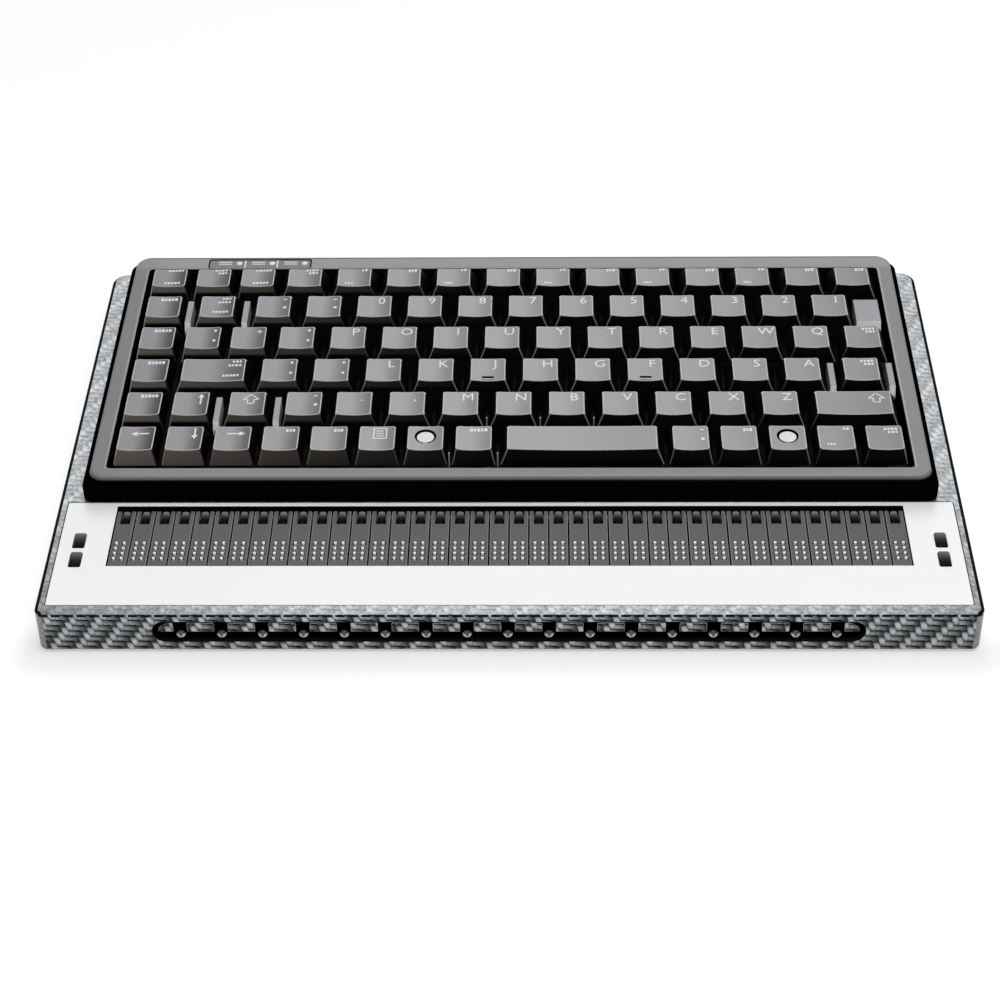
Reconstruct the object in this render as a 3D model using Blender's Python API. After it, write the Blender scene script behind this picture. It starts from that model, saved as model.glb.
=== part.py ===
"""Braille notetaker: a line of 40 eight-dot braille cells in front of an 86-key keyboard.

Lengths are in metres. Every piece hangs on one empty at the front lower edge of the base,
so in this file x runs from the middle, y back from the front face and z up from the underside.
"""

import collections
import math

import bmesh
import bpy

Cap = collections.namedtuple("Cap", "skirt top")
Box = collections.namedtuple("Box", "x0 x1 y0 y1")
Row = collections.namedtuple("Row", "name depth kinds singles")

# Fits
SEAT_GAP = 0.0003
SLIDE_GAP = 0.0003
CUT_OVERRUN = 0.002
JOIN_OVERLAP = 0.0004
CORNER_STEPS = 3
EDGE_STEPS = 2
SMOOTH_ANGLE = math.radians(40)

# Keys
SMALL_SKIRT = 0.0148
SMALL_TOP = 0.0120
LETTER_SKIRT = 0.01675
LETTER_TOP = 0.0120
ENTER_SKIRT = 0.0262
ENTER_TOP = 0.0217
WIDE_SHIFT_SKIRT = 0.0303
WIDE_SHIFT_TOP = 0.0255
SPACE_BAR_SKIRT = 0.0546
SPACE_BAR_TOP = 0.0498
KEY_DEPTH = 0.0177
FUNCTION_KEY_DEPTH = 0.0158
KEY_HEIGHT = 0.0055
KEY_FRONT_SLOPE = 0.00165
KEY_BACK_SLOPE = 0.00345
KEY_DISH = 0.0006
KEY_DISH_SEGMENTS = 3
KEY_WALL = 0.0012
KEY_GAP = 0.0012
KEY_TRAVEL = 0.0030
STEM_WIDTH = 0.0040
STEM_GUIDED = 0.0007
STABILISER_SPREAD = 0.0360
SMALL = Cap(SMALL_SKIRT, SMALL_TOP)
LETTER = Cap(LETTER_SKIRT, LETTER_TOP)
ENTER = Cap(ENTER_SKIRT, ENTER_TOP)
WIDE_SHIFT = Cap(WIDE_SHIFT_SKIRT, WIDE_SHIFT_TOP)
SPACE = Cap(SPACE_BAR_SKIRT, SPACE_BAR_TOP)

# Key rows, front to back. FIN marks a fixed rib that stands between two skirts
FIN = "fin"
FIN_GAP = 0.00335
FIN_WIDTH = 0.0020
FIN_HEIGHT = 0.0035
FIN_FRONT_REACH = 0.0010
FIN_BACK_SETBACK = 0.0040
FIN_SLANT_DEPTH = 0.0015
FIN_SLANT_HEIGHT = 0.0030
FILLER_WELL_GAP = 0.0021
ROW_GAP = 0.0014
BOTTOM_NAMES = (
    "key_arrow_left", "key_arrow_down", "key_arrow_right", "key_insert", "key_delete",
    "key_menu", "key_system_left", "key_alt_gr", "space_bar", "key_accent", "key_alt",
    "key_system_right", "key_fn", "key_ctrl",
)
LOWER_NAMES = (
    "key_end", "key_arrow_up", "key_shift_small", "key_slash", "key_period", "key_comma",
    "key_m", "key_n", "key_b", "key_v", "key_c", "key_x", "key_z", "key_shift_wide",
)
ROWS = (
    Row("bottom", KEY_DEPTH, (SMALL,) * 8 + (SPACE,) + (SMALL,) * 5, BOTTOM_NAMES),
    Row(
        "lower_letter",
        KEY_DEPTH,
        (SMALL, SMALL, FIN, LETTER, FIN, SMALL) + (LETTER,) * 9 + (WIDE_SHIFT,),
        LOWER_NAMES,
    ),
    Row("home", KEY_DEPTH, (SMALL, ENTER) + (LETTER,) * 11 + (FIN, LETTER, FIN), ()),
    Row("upper_letter", KEY_DEPTH, (SMALL,) * 3 + (LETTER,) * 12, ()),
    Row("number", KEY_DEPTH, (SMALL, FIN, LETTER, FIN) + (LETTER,) * 12, ()),
    Row("function", FUNCTION_KEY_DEPTH, (SMALL,) * 3 + (LETTER,) * 12, ()),
)
FILLER_ROW = "number"

# Keyboard frame and tray
WELL_SIDE_GAP = 0.0012
WELL_FRONT_GAP = 0.00355
WELL_BACK_GAP = 0.0020
WELL_RADIUS = 0.0015
FRAME_SIDE_RAIL = 0.0059
FRAME_FRONT_RAIL = 0.0045
FRAME_BACK_RAIL = 0.0085
FRAME_HEIGHT = 0.0025
FRAME_EDGE = 0.0012
FRAME_FRONT_RADIUS = 0.0050
FRAME_BACK_RADIUS = 0.0085
KEY_PROUD = 0.0037
TRAY_SIDE_LEDGE = 0.0022
TRAY_FRONT_LEDGE = 0.0031
TRAY_BACK_LEDGE = 0.0002
TRAY_RIM_HEIGHT = 0.0052
TUB_FLOOR = 0.0010
TUB_WALL = 0.0022
TUB_MARGIN = 0.0007
TUB_RADIUS = 0.0035
MEMBRANE_THICKNESS = 0.0007
KEY_PLATE_THICKNESS = 0.0024
KEY_PLATE_SKIRT = 0.0020
DOME_STRIP_THICKNESS = 0.0008
DOME_STRIP_WIDTH = 0.0060

# Status window in the back rail, and the lamps under it
STATUS_WINDOW_LENGTH = 0.0372
STATUS_WINDOW_WIDTH = 0.0058
STATUS_WINDOW_INSET = 0.0271
STATUS_WINDOW_FROM_WELL = 0.0007
STATUS_WINDOW_THICKNESS = 0.0006
STATUS_LEDGE = 0.0006
STATUS_BOARD_THICKNESS = 0.0006
LAMP_COUNT = 3
LAMP_PITCH = 0.0120
LAMP_RADIUS = 0.0013
LAMP_HEIGHT = 0.0006
LAMP_FROM_WINDOW_END = 0.0022
LAMP_SIDES = 8

# Base. What it holds takes shares of its height
BASE_HEIGHT = 0.0155
DECK_SHARE = 0.17
COVER_SHARE = 0.13
TUB_SHARE = 0.55
CELL_BODY_SHARE = 0.45
CARRIAGE_TOP_SHARE = 0.10
CARRIAGE_RIB_SHARE = 0.39
BAR_SHARE = 0.406
BAR_CENTRE_SHARE = 0.506
BASE_SIDE_RAIL = 0.0074
BASE_BACK_RAIL = 0.0004
BASE_WALL = 0.0022
BASE_FRONT_RADIUS = 0.0030
BASE_BACK_RADIUS = 0.0055
BASE_EDGE = 0.0010
DECK_STRIP = 0.0003
FOOT_HEIGHT = 0.0008
FOOT_RADIUS = 0.0060
FOOT_SEAT = 0.0008
FOOT_EDGE = 0.0004
FOOT_INSET_X = 0.0190
FOOT_INSET_Y = 0.0170
FOOT_SIDES = 12

# Front plate
PLATE_THICKNESS = 0.0010
PLATE_SIDE_BORDER = 0.0032
PLATE_FRONT_BORDER = 0.00405
PLATE_APRON = 0.01855
PLATE_BACK_RAIL = 0.00175
PLATE_RADIUS = 0.0006

# Braille cells
CELLS = 40
CELL_PITCH = 0.00642
CELL_GAP = 0.0005
CELL_LENGTH = 0.0277
CELL_BACK_GAP = 0.00185
CELL_DROP = 0.0006
CELL_GROOVE_DEPTH = 0.0010
CAP_THICKNESS = 0.0016
CELL_FRONT_WALL = 0.0021
DOT_PITCH = 0.0025
DOT_ROWS = 4
DOT_COLUMNS = 2
DOT_WIDTH = 0.0014
DOT_PROUD = 0.0007
DOT_TRAVEL = 0.0007
FIRST_DOT_FROM_CELL_FRONT = 0.0041
DOT_WINDOW_MARGIN = 0.0005
REED_CHANNEL_MARGIN = 0.0014

# Routing buttons behind the dots
ROUTING_WIDTH = 0.0027
ROUTING_LENGTH = 0.0063
ROUTING_TRAVEL = 0.0005
ROUTING_PROUD = 0.0002
ROUTING_FRONT_DROP = 0.0010
ROUTING_STRIP_THICKNESS = 0.0015

# Boards and battery. The standoff is a share of the bay's height
BACKPLANE_THICKNESS = 0.0016
BACKPLANE_END_INSET = 0.0020
BOARD_THICKNESS = 0.0016
STANDOFF_SHARE = 0.20
BAY_SIDE_MARGIN = 0.0180
BAY_MIDDLE_GAP = 0.0120
BAY_FRONT_MARGIN = 0.0080
BATTERY_BACK_MARGIN = 0.0140
BATTERY_RADIUS = 0.0020
CHIP_SIZE = 0.0140
CHIP_HEIGHT = 0.0010
BOSS_RADIUS = 0.0025
BOSS_SIDES = 6
BOSS_INSET = 0.0060

# Side buttons beside the dots
SIDE_BUTTON_FROM_CELLS = 0.01035
SIDE_BUTTON_TO_PLATE_EDGE = 0.0063
SIDE_BUTTON_WIDTH = 0.0038
SIDE_BUTTON_LENGTH = 0.0069
SIDE_BUTTON_PITCH = 0.0093
SIDE_BUTTONS_FROM_CELL_FRONT = 0.00735
SIDE_BUTTON_PROUD = 0.0007
SIDE_BUTTON_CROWN = 0.0005
SIDE_BUTTON_RADIUS = 0.0008
SIDE_BUTTON_CORNER_STEPS = 1
SIDE_BUTTON_FLANGE = 0.0008
SIDE_BUTTON_FLANGE_HEIGHT = 0.0009

# Navigation bar in the front face. The shares are of the bar's height
STUDS = 17
CELLS_PER_STUD = 2
STUD_SIDES = 8
STUD_END = 0.0069
BAR_SIDE_TRAVEL = 0.0015
BAR_LIFT_TRAVEL = 0.0008
BAR_SIDE_MARGIN = 0.0005
BAR_LIFT_MARGIN = 0.0002
BAR_PAD_SHARE = 0.508
STUD_RADIUS_SHARE = 0.238
STUD_CENTRE_SHARE = 0.206
TONGUE_SHARE = 0.635
BAR_PAD_NOTCH = 0.0036
BAR_NOTCH_EXTRA_DEPTH = 0.0002
BAR_FACE = 0.0005
BAR_CHANNEL_FLOOR = 0.0014
BAR_DEPTH = 0.0038
CARRIAGE_DEPTH = 0.0040
CARRIAGE_END_INSET = 0.0096
TONGUE_LENGTH = 0.0080
TONGUE_DEPTH = 0.0030
TONGUE_INSET = 0.0400
CARRIAGE_RIB = 0.0012

# Rear socket and power switch. The shares are of the bay's height
SOCKET_SHARE = 0.78
SWITCH_KNOB_SHARE = 0.48
SWITCH_SLIDE_SHARE = 0.80
SOCKET_WIDTH = 0.0077
SOCKET_LENGTH = 0.0093
SOCKET_SETBACK = 0.0002
SOCKET_WALL = 0.0005
SOCKET_BORE_DEPTH = 0.0060
SOCKET_FROM_SIDE = 0.0380
SWITCH_FROM_SIDE = 0.0380
SWITCH_TRAVEL = 0.0030
SWITCH_KNOB_WIDTH = 0.0030
SWITCH_SLIDE_WIDTH = 0.0090
SWITCH_SLIDE_DEPTH = 0.0030
SWITCH_SETBACK = 0.0003

# Looks: colour, roughness, metallic
CARBON = ((0.30, 0.32, 0.36, 1), 0.35, 0.3)
BLACK_PLASTIC = ((0.02, 0.02, 0.022, 1), 0.5, 0)
SILVER_PLATE = ((0.72, 0.73, 0.75, 1), 0.4, 0.4)
FRAME_GREY = ((0.35, 0.36, 0.38, 1), 0.5, 0)
KEY_GREY = ((0.30, 0.31, 0.33, 1), 0.55, 0)
FIN_GREY = ((0.05, 0.05, 0.055, 1), 0.6, 0)
CAP_GREY = ((0.09, 0.09, 0.10, 1), 0.4, 0)
PIN_WHITE = ((0.85, 0.85, 0.85, 1), 0.4, 0)
BUTTON_BLACK = ((0.015, 0.015, 0.018, 1), 0.3, 0)
BOARD_GREEN = ((0.02, 0.18, 0.08, 1), 0.5, 0)
RUBBER = ((0.02, 0.02, 0.02, 1), 0.9, 0)
WINDOW_SMOKE = ((0.12, 0.12, 0.13, 1), 0.15, 0)
BATTERY_BLUE = ((0.05, 0.10, 0.35, 1), 0.5, 0)
STEEL = ((0.60, 0.60, 0.62, 1), 0.3, 1)


def lay_row(kinds):
    """A row from its left end at 0: (centre, cap) of each key, each fin's centre, its length."""
    keys, fins, edge, gap = [], [], 0.0, 0.0
    for kind in kinds:
        if kind is FIN:
            fins.append(edge + FIN_GAP / 2)
            gap = FIN_GAP
            continue
        edge += gap
        keys.append((edge + kind.skirt / 2, kind))
        edge += kind.skirt
        gap = KEY_GAP
    return keys, fins, edge


# Keyboard width, from the longest row outwards
ROW_LENGTH = max(lay_row(row.kinds)[2] for row in ROWS)
WELL_HALF = ROW_LENGTH / 2 + WELL_SIDE_GAP
FRAME_HALF = WELL_HALF + FRAME_SIDE_RAIL
TRAY_HALF = FRAME_HALF + TRAY_SIDE_LEDGE
TUB_INNER_HALF = WELL_HALF + TUB_MARGIN
TUB_OUTER_HALF = TUB_INNER_HALF + TUB_WALL

# Braille line width, from the cells outwards
CELLS_HALF = (CELLS * CELL_PITCH - CELL_GAP) / 2
WINDOW_HALF = CELLS_HALF + SLIDE_GAP
SIDE_BUTTON_X = CELLS_HALF + SIDE_BUTTON_FROM_CELLS
PLATE_NEEDED_HALF = SIDE_BUTTON_X + SIDE_BUTTON_TO_PLATE_EDGE

# The base is as wide as the wider of the two, or as the navigation bar needs
STUD_PITCH = CELLS_PER_STUD * CELL_PITCH
BAR_HALF = (STUDS - 1) / 2 * STUD_PITCH + STUD_END
SLOT_HALF = BAR_HALF + BAR_SIDE_TRAVEL + BAR_SIDE_MARGIN
BASE_HALF = max(
    TRAY_HALF + BASE_SIDE_RAIL,
    PLATE_NEEDED_HALF + PLATE_SIDE_BORDER,
    SLOT_HALF + BASE_WALL + BASE_FRONT_RADIUS,
)
BASE_INNER_HALF = BASE_HALF - BASE_WALL
PLATE_HALF = BASE_HALF - PLATE_SIDE_BORDER

# Depths, from the front face back
PLATE_FRONT = PLATE_FRONT_BORDER
CELL_FRONT = PLATE_FRONT + PLATE_APRON + SLIDE_GAP
CELL_BACK = CELL_FRONT + CELL_LENGTH
WINDOW_FRONT = CELL_FRONT - SLIDE_GAP
WINDOW_BACK = CELL_BACK + CELL_BACK_GAP
PLATE_BACK = WINDOW_BACK + PLATE_BACK_RAIL
TRAY_FRONT = PLATE_BACK + DECK_STRIP
FRAME_FRONT = TRAY_FRONT + TRAY_FRONT_LEDGE
WELL_FRONT = FRAME_FRONT + FRAME_FRONT_RAIL
ROWS_DEPTH = sum(row.depth for row in ROWS) + (len(ROWS) - 1) * ROW_GAP
WELL_BACK = WELL_FRONT + WELL_FRONT_GAP + ROWS_DEPTH + WELL_BACK_GAP
FRAME_BACK = WELL_BACK + FRAME_BACK_RAIL
TRAY_BACK = FRAME_BACK + TRAY_BACK_LEDGE
BASE_DEPTH = TRAY_BACK + BASE_BACK_RAIL
TUB_FRONT = WELL_FRONT - TUB_MARGIN - TUB_WALL
TUB_BACK = WELL_BACK + TUB_MARGIN + TUB_WALL
BASE_INNER_BACK = BASE_DEPTH - BASE_WALL

# Heights, from the underside of the base up
COVER_THICKNESS = COVER_SHARE * BASE_HEIGHT
DECK_BOTTOM = BASE_HEIGHT - DECK_SHARE * BASE_HEIGHT
PLATE_BOTTOM = BASE_HEIGHT - PLATE_THICKNESS
TUB_BOTTOM = BASE_HEIGHT - TUB_SHARE * BASE_HEIGHT
BAY_HEIGHT = TUB_BOTTOM - COVER_THICKNESS
TUB_FLOOR_TOP = TUB_BOTTOM + TUB_FLOOR
MEMBRANE_TOP = TUB_FLOOR_TOP + SEAT_GAP + MEMBRANE_THICKNESS
STEM_TIP = MEMBRANE_TOP + SEAT_GAP + KEY_TRAVEL
KEY_PLATE_TOP = STEM_TIP + STEM_GUIDED
KEY_PLATE_BOTTOM = KEY_PLATE_TOP - KEY_PLATE_THICKNESS
DOME_STRIP_BOTTOM = KEY_PLATE_TOP + KEY_TRAVEL + SLIDE_GAP
DOME_STRIP_TOP = DOME_STRIP_BOTTOM + DOME_STRIP_THICKNESS
TRAY_BOTTOM = BASE_HEIGHT + SEAT_GAP
TRAY_TOP = TRAY_BOTTOM + TRAY_RIM_HEIGHT
FRAME_BOTTOM = TRAY_TOP + SEAT_GAP
FRAME_TOP = FRAME_BOTTOM + FRAME_HEIGHT
KEY_TOP = FRAME_TOP + KEY_PROUD
SKIRT_BOTTOM = KEY_TOP - KEY_HEIGHT
FIN_TOP = SKIRT_BOTTOM + FIN_HEIGHT
CAP_TOP = BASE_HEIGHT - CELL_DROP
CAP_BOTTOM = CAP_TOP - CAP_THICKNESS
CELL_SEAT_HEIGHT = CAP_TOP - CELL_BODY_SHARE * BASE_HEIGHT

# Places inside the braille line
FIRST_DOT = CELL_FRONT + FIRST_DOT_FROM_CELL_FRONT
LAST_DOT = FIRST_DOT + (DOT_ROWS - 1) * DOT_PITCH
REED_CHANNEL_FRONT = CELL_FRONT + CELL_FRONT_WALL
REED_CHANNEL_BACK = LAST_DOT + DOT_WIDTH / 2 + REED_CHANNEL_MARGIN
NOTCH_FRONT = CELL_BACK - ROUTING_LENGTH - SLIDE_GAP
NOTCH_WIDTH = ROUTING_WIDTH + 2 * SLIDE_GAP
STRIP_TOP = CAP_BOTTOM - SEAT_GAP
STRIP_BOTTOM = STRIP_TOP - ROUTING_STRIP_THICKNESS
STRIP_FLOOR = STRIP_BOTTOM - ROUTING_TRAVEL - SLIDE_GAP
BACKPLANE_TOP = CELL_SEAT_HEIGHT - SEAT_GAP
BACKPLANE_BOTTOM = BACKPLANE_TOP - BACKPLANE_THICKNESS
REED_BANK_TOP = CAP_BOTTOM - SEAT_GAP
REED_BANK_BOTTOM = BACKPLANE_TOP + SLIDE_GAP + DOT_TRAVEL

# Places in the bay under the keyboard
BAY_HALF = TUB_OUTER_HALF - BAY_SIDE_MARGIN
BAY_FRONT = TUB_FRONT + BAY_FRONT_MARGIN
BAY_BACK = BASE_DEPTH - SOCKET_SETBACK - SOCKET_LENGTH - SEAT_GAP
BOARD_BOTTOM = COVER_THICKNESS + STANDOFF_SHARE * BAY_HEIGHT
SOCKET_HEIGHT = SOCKET_SHARE * BAY_HEIGHT
SWITCH_KNOB_HEIGHT = SWITCH_KNOB_SHARE * BAY_HEIGHT
SWITCH_SLIDE_HEIGHT = SWITCH_SLIDE_SHARE * BAY_HEIGHT
SOCKET_CENTRE_HEIGHT = COVER_THICKNESS + BAY_HEIGHT / 2
SOCKET_X = SOCKET_FROM_SIDE - BASE_HALF
SWITCH_X = BASE_HALF - SWITCH_FROM_SIDE

# Places of the navigation bar
BAR_HEIGHT = BAR_SHARE * BASE_HEIGHT
BAR_BOTTOM = BAR_CENTRE_SHARE * BASE_HEIGHT - BAR_HEIGHT / 2
BAR_TOP = BAR_BOTTOM + BAR_HEIGHT
PAD_BOTTOM = BAR_TOP - BAR_PAD_SHARE * BAR_HEIGHT
STUD_HEIGHT = BAR_BOTTOM + STUD_CENTRE_SHARE * BAR_HEIGHT
STUD_RADIUS = STUD_RADIUS_SHARE * BAR_HEIGHT
TONGUE_HEIGHT = TONGUE_SHARE * BAR_HEIGHT
BAR_BACK = BAR_CHANNEL_FLOOR + BAR_DEPTH
CARRIAGE_FRONT = BAR_BACK + SLIDE_GAP
CARRIAGE_BACK = CARRIAGE_FRONT + CARRIAGE_DEPTH
CARRIAGE_HALF = BAR_HALF - CARRIAGE_END_INSET
CARRIAGE_BOTTOM = COVER_THICKNESS + SLIDE_GAP
CARRIAGE_TOP = DECK_BOTTOM - CARRIAGE_TOP_SHARE * BASE_HEIGHT
CARRIAGE_RIB_TOP = COVER_THICKNESS + CARRIAGE_RIB_SHARE * BASE_HEIGHT


def clear_scene():
    for thing in list(bpy.data.objects):
        bpy.data.objects.remove(thing)


def make_datum():
    """The empty at the front lower edge of the base that carries every piece."""
    datum = bpy.data.objects.new("case_datum", None)
    bpy.context.scene.collection.objects.link(datum)
    datum.location = (0, -BASE_DEPTH / 2, FOOT_HEIGHT)
    return datum


def make_material(name, look):
    colour, roughness, metallic = look
    material = bpy.data.materials.new(name)
    material.use_nodes = True
    shader = material.node_tree.nodes["Principled BSDF"]
    shader.inputs["Base Color"].default_value = colour
    shader.inputs["Roughness"].default_value = roughness
    shader.inputs["Metallic"].default_value = metallic
    return material


def place_mesh(name, bm, at):
    """A closed mesh as an object on the datum."""
    bmesh.ops.recalc_face_normals(bm, faces=bm.faces)
    mesh = bpy.data.meshes.new(name)
    bm.to_mesh(mesh)
    bm.free()
    thing = bpy.data.objects.new(name, mesh)
    bpy.context.scene.collection.objects.link(thing)
    thing.parent = bpy.data.objects["case_datum"]
    thing.location = at
    return thing


def make_piece(name, bm, look, at=(0, 0, 0)):
    piece = place_mesh(name, bm, at)
    piece.data.shade_smooth()
    piece.data.set_sharp_from_angle(angle=SMOOTH_ANGLE)
    piece.data.materials.append(make_material(name, look))
    return piece


def shape_with(piece, operation, bm, at=(0, 0, 0)):
    """Cuts a hidden helper mesh from a piece, or joins it to the piece."""
    helper = place_mesh(f"{piece.name}_{operation.lower()}_{len(piece.modifiers)}", bm, at)
    helper.hide_render = True
    helper.display_type = "WIRE"
    modifier = piece.modifiers.new(operation.title(), "BOOLEAN")
    modifier.operation = operation
    modifier.object = helper


def cut(piece, bm, at=(0, 0, 0)):
    shape_with(piece, "DIFFERENCE", bm, at)


def join(piece, bm, at=(0, 0, 0)):
    shape_with(piece, "UNION", bm, at)


def inset_box(box, by):
    return Box(box.x0 + by, box.x1 - by, box.y0 + by, box.y1 - by)


def rounded_outline(box, front_radius, back_radius, steps=CORNER_STEPS):
    """Corner arcs of a rectangle, counter-clockwise from its front left corner."""
    corners = (
        (box.x0, box.y0, front_radius, 1, 1, math.pi),
        (box.x1, box.y0, front_radius, -1, 1, 1.5 * math.pi),
        (box.x1, box.y1, back_radius, -1, -1, 0),
        (box.x0, box.y1, back_radius, 1, -1, 0.5 * math.pi),
    )
    outline = []
    for x, y, radius, right, up, start in corners:
        for step in range(steps + 1):
            angle = start + step / steps * math.pi / 2
            outline.append(
                (
                    x + right * radius + radius * math.cos(angle),
                    y + up * radius + radius * math.sin(angle),
                )
            )
    return outline


def polygon(sides, radius):
    turns = [(side + 0.5) / sides * math.tau for side in range(sides)]
    return [(radius * math.cos(turn), radius * math.sin(turn)) for turn in turns]


def corners_of(box):
    return [(box.x0, box.y0), (box.x1, box.y0), (box.x1, box.y1), (box.x0, box.y1)]


def skin_rings(bm, rings):
    """Quads between rings of 3-D points, closed at both ends."""
    loops = [[bm.verts.new(point) for point in ring] for ring in rings]
    for below, above in zip(loops, loops[1:]):
        for i in range(len(below)):
            j = (i + 1) % len(below)
            bm.faces.new((below[i], below[j], above[j], above[i]))
    bm.faces.new(loops[0])
    bm.faces.new(loops[-1])


def add_prism(bm, outline, low, high, axis="z"):
    """An outline swept straight along one axis."""
    place = {
        "x": lambda u, v, w: (w, u, v),
        "y": lambda u, v, w: (u, w, v),
        "z": lambda u, v, w: (u, v, w),
    }[axis]
    skin_rings(bm, [[place(u, v, w) for u, v in outline] for w in (low, high)])


def prism(outline, low, high, axis="z"):
    bm = bmesh.new()
    add_prism(bm, outline, low, high, axis)
    return bm


def block(box, low, high):
    return prism(corners_of(box), low, high)


def rounded_block(box, low, high, front_radius, back_radius):
    return prism(rounded_outline(box, front_radius, back_radius), low, high)


def crowned_block(box, low, high, front_radius, back_radius, edge):
    """A rounded block whose top edge is rounded over too."""
    rings = [[(x, y, low) for x, y in rounded_outline(box, front_radius, back_radius)]]
    for step in range(EDGE_STEPS + 1):
        angle = step / EDGE_STEPS * math.pi / 2
        by = edge * (1 - math.cos(angle))
        z = high - edge + edge * math.sin(angle)
        outline = rounded_outline(inset_box(box, by), front_radius - by, back_radius - by)
        rings.append([(x, y, z) for x, y in outline])
    bm = bmesh.new()
    skin_rings(bm, rings)
    return bm


def stadium(half, low, high):
    radius = (high - low) / 2
    return rounded_outline(Box(-half, half, low, high), radius, radius)


def cell_x(cell):
    return (cell - (CELLS - 1) / 2) * CELL_PITCH


def stud_x(stud):
    return (stud - (STUDS - 1) / 2) * STUD_PITCH


def side_button_places():
    """Name, x and y of each side button."""
    middle = CELL_FRONT + SIDE_BUTTONS_FROM_CELL_FRONT
    places = []
    for side, x in (("left", -SIDE_BUTTON_X), ("right", SIDE_BUTTON_X)):
        for end, way in (("front", -0.5), ("rear", 0.5)):
            places.append((f"button_{side}_{end}", x, middle + way * SIDE_BUTTON_PITCH))
    return places


def row_fronts():
    """Each row with the y of its skirts' front edge."""
    y = WELL_FRONT + WELL_FRONT_GAP
    found = []
    for row in ROWS:
        found.append((row, y))
        y += row.depth + ROW_GAP
    return found


def make_base_housing():
    outer = Box(-BASE_HALF, BASE_HALF, 0, BASE_DEPTH)
    housing = make_piece(
        "base_housing",
        crowned_block(outer, 0, BASE_HEIGHT, BASE_FRONT_RADIUS, BASE_BACK_RADIUS, BASE_EDGE),
        CARBON,
    )
    inner = inset_box(outer, BASE_WALL)
    front_radius, back_radius = BASE_FRONT_RADIUS - BASE_WALL, BASE_BACK_RADIUS - BASE_WALL
    cut(housing, rounded_block(inner, -CUT_OVERRUN, DECK_BOTTOM, front_radius, back_radius))
    recess = inset_box(Box(-PLATE_HALF, PLATE_HALF, PLATE_FRONT, PLATE_BACK), -SEAT_GAP)
    recess_radius = PLATE_RADIUS + SEAT_GAP
    above = BASE_HEIGHT + CUT_OVERRUN
    cut(housing, rounded_block(recess, PLATE_BOTTOM - SEAT_GAP, above, recess_radius, recess_radius))
    below = DECK_BOTTOM - CUT_OVERRUN
    cut(housing, block(Box(-WINDOW_HALF, WINDOW_HALF, WINDOW_FRONT, WINDOW_BACK), below, above))
    tub = inset_box(Box(-TUB_OUTER_HALF, TUB_OUTER_HALF, TUB_FRONT, TUB_BACK), -SEAT_GAP)
    tub_radius = TUB_RADIUS + TUB_WALL + SEAT_GAP
    cut(housing, rounded_block(tub, below, above, tub_radius, tub_radius))
    cut(housing, side_button_holes(below, above))
    slot_low = BAR_BOTTOM - BAR_LIFT_TRAVEL - BAR_LIFT_MARGIN
    slot_high = BAR_TOP + BAR_LIFT_TRAVEL + BAR_LIFT_MARGIN
    through = BASE_WALL + CUT_OVERRUN
    cut(housing, prism(stadium(SLOT_HALF, slot_low, slot_high), -CUT_OVERRUN, through, "y"))
    cut(housing, rear_openings())


def side_button_holes(low, high):
    bm = bmesh.new()
    radius = SIDE_BUTTON_RADIUS + SLIDE_GAP
    for name, x, y in side_button_places():
        hole = inset_box(side_button_box(x, y), -SLIDE_GAP)
        add_prism(bm, rounded_outline(hole, radius, radius, SIDE_BUTTON_CORNER_STEPS), low, high)
    return bm


def side_button_box(x, y):
    half_width = SIDE_BUTTON_WIDTH / 2
    half_length = SIDE_BUTTON_LENGTH / 2
    return Box(x - half_width, x + half_width, y - half_length, y + half_length)


def rear_openings():
    """The socket's mouth and the power switch's slot, through the rear wall."""
    bm = bmesh.new()
    front = BASE_INNER_BACK - CUT_OVERRUN
    back = BASE_DEPTH + CUT_OVERRUN
    half_width = SOCKET_WIDTH / 2 + SEAT_GAP
    half_height = SOCKET_HEIGHT / 2 + SEAT_GAP
    low, high = SOCKET_CENTRE_HEIGHT - half_height, SOCKET_CENTRE_HEIGHT + half_height
    mouth = Box(SOCKET_X - half_width, SOCKET_X + half_width, low, high)
    add_prism(bm, corners_of(mouth), front, back, "y")
    half_height = SWITCH_KNOB_HEIGHT / 2 + SLIDE_GAP
    low, high = SOCKET_CENTRE_HEIGHT - half_height, SOCKET_CENTRE_HEIGHT + half_height
    left = SWITCH_X - SWITCH_KNOB_WIDTH / 2 - SLIDE_GAP
    right = SWITCH_X + SWITCH_KNOB_WIDTH / 2 + SWITCH_TRAVEL + SLIDE_GAP
    add_prism(bm, corners_of(Box(left, right, low, high)), front, back, "y")
    return bm


def foot_places():
    """Name, x and y of each foot."""
    xs = (("left", FOOT_INSET_X - BASE_HALF), ("right", BASE_HALF - FOOT_INSET_X))
    ys = (("front", FOOT_INSET_Y), ("rear", BASE_DEPTH - FOOT_INSET_Y))
    return [(f"foot_{end}_{side}", x, y) for side, x in xs for end, y in ys]


def moved(outline, x, y):
    return [(x + u, y + v) for u, v in outline]


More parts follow.
